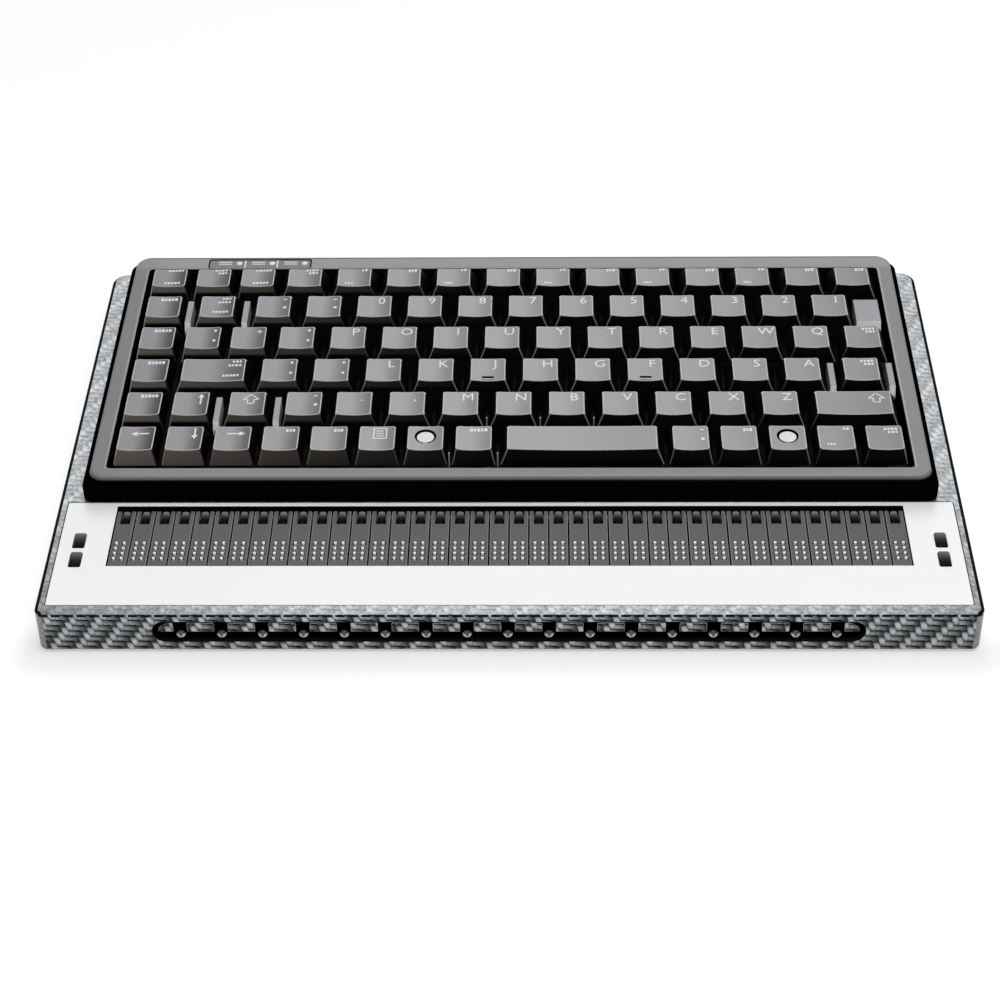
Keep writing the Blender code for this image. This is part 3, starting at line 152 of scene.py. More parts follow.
# Drawn signs, as blocks in millimetres: middle x, middle y, width and depth
SIGNS = {
    "plus": [(3.6, 2.6, 1.9, 0.45), (3.6, 3.2, 0.45, 0.6), (3.6, 2.0, 0.45, 0.6)],
    "menu": [
        (0.9, 4.2, 4.6, 0.4), (0.9, -1.0, 4.6, 0.4), (-1.2, 1.6, 0.4, 5.0), (3.0, 1.6, 0.4, 5.0),
        (0.9, 2.9, 2.4, 0.4), (0.9, 1.6, 2.4, 0.4), (0.9, 0.3, 2.4, 0.4),
    ],
    "shift": [
        (1.0, -0.7, 2.2, 0.4), (-0.1, 0.5, 0.4, 2.0), (2.1, 0.5, 0.4, 2.0),
        (-0.9, 1.4, 1.4, 0.4), (2.9, 1.4, 1.4, 0.4),
    ],
    "bare": [],
}
# Arrows: angle from straight up, length and middle x
ARROWS = {
    "up": (0, 5.6 * MM, 3.2 * MM), "down": (180, 5.6 * MM, 3.2 * MM),
    "left": (90, 6.0 * MM, 1.0 * MM), "right": (-90, 6.0 * MM, 1.0 * MM),
}


def mm(*values):
    """Millimetres as metres."""
    return [value * MM for value in values]


def linear(code):
    """A screen colour such as 0x808080 as linear red, green and blue."""
    parts = [(code >> shift & 255) / 255 for shift in (16, 8, 0)]
    return [p / 12.92 if p <= 0.04045 else ((p + 0.055) / 1.055) ** 2.4 for p in parts]


def length(name, description, default):
    """A size, its default given in millimetres."""
    return FloatProperty(name=name, description=description, default=default * MM, unit="LENGTH")


def colour(name, description, code):
    return FloatVectorProperty(
        name=name, description=description, default=linear(code), subtype="COLOR", min=0, max=1
    )


class CaseSizes(bpy.types.PropertyGroup):
    front_corner: length("Front corner", "Radius of the front upright corners", 3.0)
    corner: length("Rear corner", "Radius of the rear upright corners", 5.5)
    top_edge: length("Top edge", "Round of the top edge", 1.0)
    lower_edge: length("Lower edge", "Round of the lower edge", 0.8)
    roof: length("Roof", "Thickness of the case's top", 2.6)
    plate_corner: length("Plate corner", "Radius of the plate's corners", 0.6)
    plate_edge: length("Plate edge", "Softening of the plate's edges", 0.15)
    seat_gap: length("Seat gap", "Gap round a piece that is let in", 0.3)
    window_gap: length("Window gap", "Black strip behind the braille cells", 1.85)


class BrailleSizes(bpy.types.PropertyGroup):
    cells: IntProperty(name="Cells", description="Cells in the line", default=40)
    pitch: length("Pitch", "From cell to cell", 6.42)
    gap: length("Gap", "Dark gap between two caps", 0.5)
    cap: length("Cap", "Height of a cell's cap", 1.6)
    notch: length("Notch", "Width of the notch for a routing button", 3.3)
    notch_depth: length("Notch depth", "Reach of the notch from the rear", 6.6)
    first_dot: length("First dot", "From the front of a cap to its first dots", 3.7)
    dot_pitch: length("Dot pitch", "From dot to dot", 2.5)
    pin_radius: length("Pin radius", "Radius of a pin", 0.52)
    pin_length: length("Pin length", "Length of a pin above its bank", 2.6)
    hole_radius: length("Hole radius", "Radius of the hole round a pin", 0.88)
    button_width: length("Button width", "Width of a routing button", 2.5)


class BarSizes(bpy.types.PropertyGroup):
    studs: IntProperty(name="Studs", description="Studs along the bar", default=17)
    stud_radius: length("Stud radius", "Radius of a stud", 1.5)
    stud_height: length("Stud height", "Height of a stud's middle above the bar's foot", 1.3)
    notch: length("Notch", "Width of the notch above a stud", 4.2)
    pad_height: length("Pad height", "Height of the pads", 3.65)
    pad_depth: length("Pad depth", "How far the pads stand out of the bar", 0.9)
    body: length("Body", "Depth of the bar behind the pads", 3.8)


class KeySizes(bpy.types.PropertyGroup):
    depth: length("Depth", "Depth of a key's skirt", 17.7)
    function_depth: length("Function depth", "Depth of a function key's skirt", 15.8)
    height: length("Height", "Height of a key cap", 5.5)
    dish: length("Dish", "Depth of the hollow in the top", 0.6)
    edge: length("Edge", "Softening of the cap's edges", 0.45)
    corner: length("Corner", "Round of a skirt's upright corners", 1.0)
    first: length("First row", "From the frame's front to the first row", 8.05)
    gap: length("Gap", "Between two skirts", 1.2)
    rib_gap: length("Rib gap", "Between two skirts with a rib between them", 3.35)
    row_gap: length("Row gap", "Between two rows", 1.4)
    letter: length("Letter", "Size of a letter on a key", 5.6)


class Colours(bpy.types.PropertyGroup):
    weave_light: colour("Weave light", "Bright strands of the weave", 0xE4E9EC)
    weave_dark: colour("Weave dark", "Gaps of the weave", 0x040506)
    plate: colour("Plate", "Silver front plate", 0xF8F8F8)
    rim: colour("Frame", "Frame round the keys", 0x8A8A8C)
    # Key tops are painted light grey and skirts black, as lit and shaded tones of one dark plastic;
    # edges and corners hold painted highlights
    key_top: colour("Key top", "Top of a key", 0xA3A1A4)
    key_edge: colour("Key edge", "Painted highlight on the edge of a key's top", 0xC6C4C6)
    key_side: colour("Key side", "Skirt of a key", 0x040404)
    key_corner: colour("Key corner", "Painted highlights on the corners of a key's skirt", 0x656261)
    legend: colour("Legend", "Marks on the keys", 0xE4E4E4)
    cap: colour("Cap", "Caps of the braille cells", 0x605F61)
    pin: colour("Pin", "Braille pins", 0xF8F8F8)
    black: colour("Black", "Black plastic", 0x030304)


SETTINGS = (
    ("notetaker_case", CaseSizes),
    ("notetaker_braille", BrailleSizes),
    ("notetaker_bar", BarSizes),
    ("notetaker_keys", KeySizes),
    ("notetaker_colours", Colours),
)


# Nodes


def put(socket, value):
    """Sets an input to a plain value, or joins it to an output."""
    value = getattr(value, "socket", value)
    if isinstance(value, bpy.types.NodeSocket):
        socket.id_data.links.new(value, socket)
    else:
        socket.default_value = value


def add_node(tree, kind, inputs=None, **settings):
    made = tree.nodes.new("ShaderNode" + kind)
    for name, value in settings.items():
        setattr(made, name, value)
    for name, value in (inputs or {}).items():
        put(made.inputs[name], value)
    return made


def sums(operation, swapped=False):
    """A method of Wire that adds a node for a sum or a comparison."""

    def method(*values):
        numbers = dict(enumerate(reversed(values) if swapped else values))
        return Wire(add_node(values[0].tree, "Math", numbers, operation=operation).outputs[0])

    return method


class Wire:
    """A number inside a material's nodes. Sums and comparisons of wires add nodes."""

    def __init__(self, socket):
        self.socket = socket
        self.tree = socket.id_data

    __abs__, __add__, __sub__ = sums("ABSOLUTE"), sums("ADD"), sums("SUBTRACT")
    __rsub__ = sums("SUBTRACT", swapped=True)
    __mul__, __truediv__, __pow__ = sums("MULTIPLY"), sums("DIVIDE"), sums("POWER")
    __gt__, __lt__, __or__ = sums("GREATER_THAN"), sums("LESS_THAN"), sums("MAXIMUM")
    __mod__, floor, part = sums("FLOORED_MODULO"), sums("FLOOR"), sums("FRACT")

    def ramp(self, start, end, low=0.0, high=1.0, **settings):
        """Runs from low to high while this runs from start to end."""
        inputs = dict(enumerate((self, start, end, low, high)))
        return Wire(add_node(self.tree, "MapRange", inputs, **settings).outputs[0])

    def mix(self, low, high):
        """low where this is 0 and high where it is 1, for numbers."""
        inputs = {0: self, 2: low, 3: high}
        return Wire(add_node(self.tree, "Mix", inputs, data_type="FLOAT").outputs[0])

    def tint(self, low, high):
        """low where this is 0 and high where it is 1, for colours."""
        inputs = {0: self, 6: low, 7: high}
        return add_node(self.tree, "Mix", inputs, data_type="RGBA").outputs[2]


def split(socket):
    """The x, y and z of a vector."""
    return [Wire(out) for out in add_node(socket.id_data, "SeparateXYZ", {0: socket}).outputs]


def surface(tree):
    """Where a point lies and which way it faces, each as x, y and z."""
    outputs = add_node(tree, "TexCoord").outputs
    return split(outputs["Object"]), split(outputs["Normal"])


def distance(x, y):
    """How far a point lies from the middle."""
    flat = add_node(x.tree, "CombineXYZ", {0: x, 1: y}).outputs[0]
    return Wire(add_node(x.tree, "VectorMath", {0: flat}, operation="LENGTH").outputs["Value"])


def scaled(tone, wire):
    """A colour made darker or lighter by a wire."""
    inputs = {0: tone, "Scale": wire}
    return add_node(wire.tree, "VectorMath", inputs, operation="SCALE").outputs[0]


def arch(share, power):
    """0 at both ends of a strand and 1 at its middle."""
    return (share * (1.0 - share) * 4.0 | 0.0) ** power


def new_group(name, inputs, outputs):
    """An empty node group: (group, outputs of its input node, inputs of its output node)."""
    group = bpy.data.node_groups.new(name, "ShaderNodeTree")
    for label, default in inputs:
        kind = "NodeSocketVector" if default is None else "NodeSocketFloat"
        socket = group.interface.new_socket(label, in_out="INPUT", socket_type=kind)
        if default is not None:
            socket.default_value = default
    for label in outputs:
        group.interface.new_socket(label, in_out="OUTPUT", socket_type="NodeSocketFloat")
    given, result = group.nodes.new("NodeGroupInput"), group.nodes.new("NodeGroupOutput")
    return group, given.outputs, result.inputs


def weave_group():
    """A twill on each side of a box: brightness, height, and how much the surface faces up."""
    found = bpy.data.node_groups.get("Twill weave")
    if found:
        return found
    group, given, result = new_group(
        "Twill weave",
        [
            ("Vector", None), ("Normal", None), ("Strand", 2.02 * MM), ("Row", 2.2 * MM),
            ("Lean", 0.29),
        ],
        ["Brightness", "Height", "Up"],
    )
    place, turn = split(given["Vector"]), split(given["Normal"])
    rise = abs(turn[2])
    # Rows lie over each other on the sides and behind each other on top; 400 keeps counts positive
    v = (rise > 0.6).mix(place[2], place[1]) / given["Row"] + 400.0
    u = (abs(turn[0]) > 0.72).mix(place[0], place[1]) / given["Strand"] + 400.0
    u = u + v * given["Lean"]
    across_u, across_v, column, row = u.part(), v.part(), u.floor(), v.floor()
    # Each strand passes over two rows and under two, one row further on than its neighbour
    phase = (column - row) % 4.0
    cell = add_node(group, "CombineXYZ", {0: column, 1: row}).outputs[0]
    chance = add_node(group, "TexWhiteNoise", {"Vector": cell}, noise_dimensions="3D")
    upright = phase < 1.5
    hump = arch(upright.mix(across_v, across_u), 0.5)
    # Strands on top are bright in their middle; those across fade along a dark dash
    warp = arch((1.0 - phase + across_v) * 0.5, 1.3) * 0.9 + 0.06
    weft = (phase - 2.0 + across_u) * 0.5 * -0.5 + 0.62
    dash = (abs(phase - 2.0) < 0.5) * (across_v < 0.24)
    level = upright.mix(weft, warp) * (dash * -0.95 + 1.0) * (hump * 0.75 + 0.25)
    put(result["Brightness"], level * (Wire(chance.outputs["Value"]) * 0.3 + 0.85))
    put(result["Height"], hump)
    put(result["Up"], rise)
    return group


def grain_group():
    """Fine moulded grain with broad, faint patches: a height, and a value about 1."""
    found = bpy.data.node_groups.get("Moulded grain")
    if found:
        return found
    group, given, result = new_group(
        "Moulded grain",
        [("Vector", None), ("Grain", 3500.0), ("Patch", 45.0), ("Change", 0.1)],
        ["Height", "Value"],
    )
    fine, broad = (
        Wire(add_node(group, "TexNoise", {
            "Vector": given["Vector"], "Scale": given[scale], "Detail": detail
        }).outputs[0])
        for scale, detail in (("Grain", 2.0), ("Patch", 3.0))
    )
    put(result["Height"], fine)
    put(result["Value"], (broad - 0.5) * given["Change"] + (fine - 0.5) * given["Change"] + 1.0)
    return group


def new_material(name, roughness, metallic=0.0, coat=0.0, specular=0.3):
    """A material with its shader's plain values set: (material, tree, shader's inputs)."""
    material = bpy.data.materials.new(name)
    material.use_nodes = True
    shader = material.node_tree.nodes["Principled BSDF"].inputs
    shader["Roughness"].default_value = roughness
    shader["Metallic"].default_value = metallic
    shader["Coat Weight"].default_value = coat
    shader["Coat Roughness"].default_value = 0.1
    shader["Specular IOR Level"].default_value = specular
    return material, material.node_tree, shader


def bump(tree, shader, height, distance, strength=1.0):
    inputs = {"Height": height, "Distance": distance, "Strength": strength}
    put(shader["Normal"], add_node(tree, "Bump", inputs).outputs[0])


def moulded(name, tone, roughness, grain=3500.0, depth=0.01 * MM, change=0.12, **plain):
    """Moulded plastic, rubber or painted metal: grain, and faint patches in colour and gloss."""
    found = bpy.data.materials.get(name)
    if found:
        return found
    tone = linear(tone) if isinstance(tone, int) else tone
    material, tree, shader = new_material(name, roughness, **plain)
    place = add_node(tree, "TexCoord").outputs["Object"]
    inputs = {"Vector": place, "Grain": grain, "Change": change}
    group = add_node(tree, "Group", inputs, node_tree=grain_group()).outputs
    put(shader["Base Color"], scaled(tuple(tone), Wire(group["Value"])))
    put(shader["Roughness"], Wire(group["Value"]) * roughness)
    bump(tree, shader, group["Height"], depth)
    return material


def base_colour(material):
    """A material's colour input, and what feeds it."""
    socket = material.node_tree.nodes["Principled BSDF"].inputs["Base Color"]
    return socket, socket.links[0].from_socket


def painted_light_tone(material, share, code, power=2.2):
    """Lets a material grow lighter where the share nears 1, for painted highlights and reflections.
    """
    socket, base = base_colour(material)
    put(socket, (share ** power).tint(base, (*linear(code), 1)))
    return material


def shaded(material, shade):
    """Makes a material darker or lighter by a wire."""
    socket, base = base_colour(material)
    put(socket, scaled(base, shade))
    return material


def black_plastic():
    return moulded(
        "Black plastic", bpy.context.scene.notetaker_colours.black, 0.5, specular=0.0
    )


def carbon_material():
    """Film of woven carbon under a clear coat: painted bright on top as if lit, with dark lines
    along the edges.
    """
    found = bpy.data.materials.get("Carbon film")
    if found:
        return found
    colours = bpy.context.scene.notetaker_colours
    gloss, metal = 0.25, 0.75
    material, tree, shader = new_material("Carbon film", gloss, metallic=metal, specular=0.1)
    coordinates = add_node(tree, "TexCoord").outputs
    place, normal = coordinates["Object"], coordinates["Normal"]
    at, turn = split(place), split(normal)
    inputs = {"Vector": place, "Normal": normal}
    group = add_node(tree, "Group", inputs, node_tree=weave_group()).outputs
    brightness, rise = Wire(group["Brightness"]), Wire(group["Up"])
    speck = add_node(tree, "TexNoise", {"Vector": place, "Scale": 900.0, "Detail": 3.0})
    speck = Wire(speck.outputs[0]) * 0.5 - 0.25
    # Sides: strong contrast with even brightest strands, and plain grey round the corners as a
    # painted reflection
    side = brightness ** 1.8 * 1.3
    side = side * 1.09 / (side * 1.04 + 1.0)
    side = abs(turn[0] * turn[1]).ramp(0.08, 0.2).mix(side, 0.28) * (speck * 2.4 + 1.0)
    # Top: a speckled weave painted paler as if lit; its front border has a painted highlight,
    # darker towards its ends
    out = at[0] / (125 * MM)
    gain = out * out * -0.37 + 1.18 + out * 0.07
    gain = at[1].ramp(CASE.low.y + 6 * MM, CASE.low.y + 60 * MM).mix(gain, 1.1)
    lifted = (speck * 1.8 + (brightness * 0.42 + 0.4)) * gain
    level = (rise > 0.38).mix(side, lifted)
    # Black: round edges at the sides, a dashed line in front and behind, the underside, and the
    # floor of the bar's slot as painted shade
    rounded = rise > 0.3
    outwards = abs(turn[1]) > 0.12
    side_edge = (abs(rise - 0.58) < 0.415) * (abs(turn[0]) > 0.12)
    at_rim = (abs(at[0]) > CASE.high.x - 1.25 * MM) * rounded
    line = (abs(DECK - 1.08 * MM - at[2]) < 0.48 * MM) * outwards
    dashes = (at[0] * (1 / (4.04 * MM)) + 100.3).part() < 0.72
    deep = (at[2] < DECK - 8 * MM) * (rise > 0.5)
    black = side_edge | at_rim | line * dashes | deep
    # What is black and the round edges in front and behind don't shine
    dull = black | outwards * rounded
    put(shader["Roughness"], dull.mix(gloss, 0.9))
    put(shader["Metallic"], dull.mix(metal, 0.0))
    dark, light = (*colours.weave_dark, 1), (*colours.weave_light, 1)
    put(shader["Base Color"], black.mix(level, 0.0).tint(dark, light))
    bump(tree, shader, group["Height"], 0.05 * MM, 0.4)
    return material


def well_material():
    """Matte black plate whose ribs, above it, are grey, with painted light on their front faces."""
    material, tree, shader = new_material("Well", 0.6)
    at, turn = surface(tree)
    # Painted light: the ribs' front faces lighter than their tops
    grey = (turn[1] < -0.5).tint((*linear(0xA3A2A6), 1), (*linear(0xDADADC), 1))
    raised = at[2] > DECK + 4.5 * MM
    put(shader["Base Color"], raised.tint((0.004, 0.004, 0.005, 1), grey))
    return material


def rim_material():
    """Grey moulded plastic whose painted shade turns it black towards its outer edge."""
    material = moulded("Frame grey", bpy.context.scene.notetaker_colours.rim, 0.45, change=0.1)
    at, turn = surface(material.node_tree)
    # Painted shade: darker as the round edge turns away, soonest behind, and black along the rear
    # edge
    rise = (turn[1] | 0.0) * -1.8 + turn[2]
    shade = rise.ramp(0.5, 0.97, 0.5, 1.0) * rise.ramp(0.05, 0.25)
    shade = (at[1] > RIM.high.y - 1.75 * MM).mix(shade, 0.03)
    # A painted highlight: a bright line on the side rails, next to the keys
    at_well = abs(RIM.high.x - abs(at[0]) - 5.1 * MM) < 0.35 * MM
    beside = (at[1] < RIM.high.y - BACK_RAIL) * (at[1] > RIM.low.y + FRONT_RAIL)
    shade = shade * (at_well * beside * 0.5 + 1.0)
    # Less light on the left rail and more on the rear one
    left = at[0].ramp(RIM.low.x + 5 * MM, RIM.low.x + 12 * MM, 0.85, 1.0)
    rear = at[1].ramp(RIM.high.y - 9 * MM, RIM.high.y - 7 * MM, 1.0, 1.3)
    return shaded(material, shade * left * rear)


def key_top_material(tone):
    """Key tops with painted shade on their right half, the more so the further left they stand."""
    material = moulded("Key tops", tone, 0.4, change=0.16, depth=0.02 * MM)
    coordinates = add_node(material.node_tree, "TexCoord").outputs
    across, x = split(coordinates["UV"])[0], split(coordinates["Object"])[0]
    right = across.ramp(0.35, 0.98, interpolation_type="SMOOTHSTEP")
    left = x.ramp(-125 * MM, 50 * MM, 0.86, 0.12)
    # Painted light, strongest in the middle of the keyboard and less towards both ends
    out = (x / (125 * MM)) ** 2.0
    return shaded(material, (1.0 - left * right) * (out * -0.3 + 1.1))


def key_side_material(tone):
    """Black skirts with a painted reflection on their fronts that turns them grey towards the left
    end.
    """
    material = moulded("Key sides", tone, 0.5, change=0.1, specular=0.03)
    at, turn = surface(material.node_tree)
    # The painted reflection keeps off the shaded lower part of the skirts, but for the front row
    upper = at[2].ramp(KEYS_TOP - 3.2 * MM, KEYS_TOP - 2.2 * MM)
    first = at[1] < RIM.low.y + 20 * MM
    share = at[0].ramp(5 * MM, -130 * MM) * (turn[1] < -0.75) * (upper | first)
    return painted_light_tone(material, share, 0x645E58, 2.0)


def key_edge_material(tone):
    """Edges painted bright as highlights, but for the front one, which looks like the top."""
    material = moulded("Key edges", tone, 0.35, change=0.06)
    turn = surface(material.node_tree)[1]
    return painted_light_tone(material, turn[1].ramp(-0.06, -0.25), 0x969497, 1.0)


def key_corner_material(tone):
    """Painted highlights on upright corners: left ones towards the left end, right ones towards the
    right end.
    """
    material = moulded("Key corners", tone, 0.35, change=0.06)
    at, turn = surface(material.node_tree)
    right = at[0].ramp(-45 * MM, -15 * MM, 0.05)
    left = at[0].ramp(70 * MM, 40 * MM, 0.05) * at[0].ramp(-95 * MM, -125 * MM, 1.0, 2.2)
    return shaded(material, (turn[0] > 0.0).mix(left, right))


def stud_material(sizes, pitch, height):
    """Dark grey studs with a painted highlight round their lower edge."""
    material = moulded("Stud grey", 0x343436, 0.25, depth=0.002 * MM, specular=0.5)
    at = surface(material.node_tree)[0]
    x = ((at[0] * (1 / pitch) + 100.5).part() - 0.5) * (pitch / sizes.stud_radius)
    z = (at[2] - height) / sizes.stud_radius
    share = distance(x, z).ramp(0.2, 0.5) * z.ramp(0.4, 0.1)
    return painted_light_tone(material, share, 0xDCDCDE, 1.0)


# Meshes


def moved(bm, place):
    bmesh.ops.translate(bm, vec=place, verts=bm.verts)
    return bm


def turned(bm, degrees, axis):
    turn = Matrix.Rotation(math.radians(degrees), 3, axis)
    bmesh.ops.rotate(bm, cent=(0, 0, 0), matrix=turn, verts=bm.verts)
    return bm


def within(box, side, front, back, bottom, top):
    """Corners of a block in a box, set in at its sides, front and back, between two heights."""
    return (
        Vector((box.low.x + side, box.low.y + front, bottom)),
        Vector((box.high.x - side, box.high.y - back, top)),
    )


def spread(count, pitch):
    """Places in a row about the middle."""
    return [((number - (count - 1) / 2) * pitch, 0, 0) for number in range(count)]


def box_mesh(low, high, lean=0.0):
    """A block between two corners, its front top edge lower where it leans."""
    low, high = Vector(low), Vector(high)
    bm = bmesh.new()
    bmesh.ops.create_cube(bm, size=1.0)
    bmesh.ops.scale(bm, vec=high - low, verts=bm.verts)
    moved(bm, (low + high) / 2)
    if lean:
        front = [v for v in bm.verts if v.co.z > low.z + lean and v.co.y < (low.y + high.y) / 2]
        bmesh.ops.translate(bm, vec=(0, 0, -lean), verts=front)
    return bm


def soften(bm, edges, offset, steps):
    """Rounds edges, and gives the faces that the rounding made."""
    made = bmesh.ops.bevel(
        bm, geom=edges, offset=offset, offset_type="OFFSET", affect="EDGES", segments=steps,
        profile=0.5, material=-1, clamp_overlap=True,
    )["faces"]
    bm.normal_update()
    return made


def clean(bm):
    """Joins points that lie on each other, and drops faces without area."""
    bmesh.ops.remove_doubles(bm, verts=bm.verts, dist=1e-6)
    bmesh.ops.dissolve_degenerate(bm, edges=bm.edges, dist=1e-6)
    bm.normal_update()
    return bm


def edges_along(bm, axis, test=None):
    """Edges that run along an axis, those whose middle passes the test."""
    found = []
    for edge in bm.edges:
        way = (edge.verts[1].co - edge.verts[0].co).normalized()
        middle = (edge.verts[0].co + edge.verts[1].co) / 2
        if abs(way[axis]) > 0.99 and (test is None or test(middle)):
            found.append(edge)
    return found


def rim_edges(bm, height):
    """The edges that lie at a height and have an upright face on one side."""
    level = [e for e in bm.edges if all(abs(v.co.z - height) < 1e-6 for v in e.verts)]
    return [e for e in level if any(abs(f.normal.z) < 0.5 for f in e.link_faces)]


def tray_mesh(corners, front, back, top=0.0, bottom=0.0, steps=8, edge_steps=4):
    """A box with round upright corners, and softened top and bottom rims."""
    low, high = corners
    bm = box_mesh(low, high)
    middle = (low.y + high.y) / 2
    soften(bm, edges_along(bm, 2, lambda m: m.y < middle), front, steps)
    soften(bm, edges_along(bm, 2, lambda m: m.y > middle), back, steps)
    for height, offset in ((high.z, top), (low.z, bottom)):
        if offset:
            soften(bm, rim_edges(bm, height), offset, edge_steps)
    return clean(bm)


def stadium_mesh(low, high, steps=10):
    """A bar along x with round ends, seen from the front."""
    bm = box_mesh(low, high)
    soften(bm, edges_along(bm, 1), (high[2] - low[2]) / 2 - 0.01 * MM, steps)
    bmesh.ops.remove_doubles(bm, verts=bm.verts, dist=0.02 * MM)
    return bm


def post_mesh(radius, low, high, sides=24, edge=0.0, steps=2):
    """An upright round post with a softened top."""
    bm = bmesh.new()
    bmesh.ops.create_cone(
        bm, cap_ends=True, segments=sides, radius1=radius, radius2=radius, depth=high - low
    )
    moved(bm, (0, 0, (low + high) / 2)).normal_update()
    if edge:
        soften(bm, rim_edges(bm, high), edge, steps)
    return bm


def add_mesh(bm, other, material=None):
    """Adds another mesh, in one material if it is given, to a mesh and uses it up."""
    if material is not None:
        for face in other.faces:
            face.material_index = material
    mesh = bpy.data.meshes.new("part")
    other.to_mesh(mesh)
    other.free()
    bm.from_mesh(mesh)
    bpy.data.meshes.remove(mesh)
    return bm


def copies(unit, places):
    """The unit mesh at each place, as one mesh. The unit is used up."""
    bm = bmesh.new()
    for place in places:
        add_mesh(bm, moved(unit.copy(), place))
    unit.free()
    return bm


def as_object(name, bm):
    mesh = bpy.data.meshes.new(name)
    bm.to_mesh(mesh)
    bm.free()
    made = bpy.data.objects.new(name, mesh)
    bpy.context.scene.collection.objects.link(made)
    return made


def as_mesh(thing):
    """The mesh of an object, which is used up."""
    bm = bmesh.new()
    bm.from_mesh(thing.data)
    bpy.data.objects.remove(thing)
    return bm


def apply_modifiers(thing):
    bpy.context.view_layer.update()
    evaluated = thing.evaluated_get(bpy.context.evaluated_depsgraph_get())
    mesh = bpy.data.meshes.new_from_object(evaluated)
    thing.modifiers.clear()
    old = thing.data
    thing.data = mesh
    mesh.name = thing.name
    bpy.data.meshes.remove(old)


def carve(thing, cutters, operation="DIFFERENCE"):
    """Cuts each mesh from a piece, or joins it to the piece, and uses it up."""
    helpers = []
    for number, cutter in enumerate(cutters):
        helper = as_object(f"{thing.name}_cutter_{number}", cutter)
        modifier = thing.modifiers.new(helper.name, "BOOLEAN")
        modifier.operation = operation
        modifier.solver = "EXACT"
        modifier.object = helper
        helpers.append(helper)
    apply_modifiers(thing)
    for helper in helpers:
        mesh = helper.data
        bpy.data.objects.remove(helper)
        bpy.data.meshes.remove(mesh)
    return thing


def dress(thing, body, materials, replaced=(), edge=0.0, limit=35):
    """Finishes a piece: fine edges, shading, materials, and the body that it rides on."""
    if edge:
        modifier = thing.modifiers.new("Fine edges", "BEVEL")
        modifier.width = edge
        modifier.segments = 2
        modifier.limit_method = "ANGLE"
        modifier.angle_limit = math.radians(50)
        apply_modifiers(thing)
        bm = bmesh.new()
        bm.from_mesh(thing.data)
        clean(bm).to_mesh(thing.data)
        bm.free()
    thing.data.shade_smooth()
    thing.data.set_sharp_from_angle(angle=math.radians(limit))
    for material in materials:
        thing.data.materials.append(material)
    modifier = thing.modifiers.new("Even shading", "WEIGHTED_NORMAL")
    modifier.keep_sharp = True
    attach(thing, body)
    if replaced:
        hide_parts(*replaced)
    return thing


# Pieces


class NOTETAKER_OT_case(bpy.types.Operator):
    """Carbon-look case with its openings"""

    bl_idname = "notetaker.case"
    bl_label = "Case"

    def execute(self, context):
        sizes = context.scene.notetaker_case
        gap, corner = sizes.seat_gap, sizes.plate_corner + sizes.seat_gap
        case = as_object("case_shell", tray_mesh(
            CASE, sizes.front_corner, sizes.corner, sizes.top_edge, sizes.lower_edge
        ))
        inside = tray_mesh(
            within(CASE, WALL, WALL, WALL, CASE.low.z - ABOVE, DECK - sizes.roof),
            sizes.front_corner - WALL, sizes.corner - WALL,
        )
        recess = tray_mesh(
            within(PLATE, -gap, -gap, -gap, PLATE.low.z - gap, PLATE.high.z + ABOVE), corner, corner
        )
        well = tray_mesh(
            within(TRAY, *mm(4.9, 4.4, 5.5), DECK - UNDER, DECK + ABOVE), 5.7 * MM, 5.7 * MM
        )
        slot = stadium_mesh(
            (BAR.low.x - 2 * MM, CASE.low.y - 2 * MM, BAR.low.z - 1 * MM),
            (BAR.high.x + 2 * MM, CASE.low.y + 3 * MM, BAR.high.z + 1 * MM),
        )
        carve(case, [
            inside, recess, window_block(sizes), well, slot, rear_openings(), *button_holes(gap)
        ])
        dress(case, "root", [carbon_material()], ["base_housing"], 0.12 * MM)
        return {"FINISHED"}


def window_block(sizes):
    """What is cut away for the braille cells."""
    gap = sizes.seat_gap
    return box_mesh(*within(CELLS, -gap, -gap, -sizes.window_gap, DECK - UNDER, DECK + ABOVE))


def rear_openings():
    """The socket's mouth and the switch's slot through the rear wall."""
    inner, outer = CASE.high.y - 4 * MM, CASE.high.y + 1 * MM
    gap, knob, travel = 0.3 * MM, Vector(mm(1.8, 0, 1.5)), 3 * MM
    mouth = box_mesh(
        (SOCKET.low.x - gap, inner, SOCKET.low.z - gap),
        (SOCKET.high.x + gap, outer, SOCKET.high.z + gap),
    )
    middle = (SWITCH.low + SWITCH.high) / 2
    slot = box_mesh(
        Vector((middle.x, inner, middle.z)) - knob,
        Vector((middle.x + travel, outer, middle.z)) + knob,
    )
    return add_mesh(mouth, slot)


def button_holes(gap):
    """A hole round each side button."""
    inset = 0.85 * MM - gap / 2
    boxes = [Box(*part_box(node)) for node in SIDE_BUTTONS]
    return [
        tray_mesh(
            within(box, inset, inset, inset, DECK - UNDER, DECK + ABOVE),
            0.6 * MM, 0.6 * MM, steps=4,
        )
        for box in boxes
    ]


class NOTETAKER_OT_plate(bpy.types.Operator):
    """Silver plate in the front of the case"""

    bl_idname = "notetaker.plate"
    bl_label = "Front plate"

    def execute(self, context):
        sizes = context.scene.notetaker_case
        plate = tray_mesh(PLATE, sizes.plate_corner, sizes.plate_corner)
        plate = as_object("silver_plate", plate)
        carve(plate, [window_block(sizes), *button_holes(sizes.seat_gap)])
        silver = moulded(
            "Silver plate", context.scene.notetaker_colours.plate, 0.38, grain=1800.0,
            depth=0.004 * MM, change=0.05, metallic=0.2,
        )
        dress(plate, "root", [silver], ["front_plate"], sizes.plate_edge)
        return {"FINISHED"}


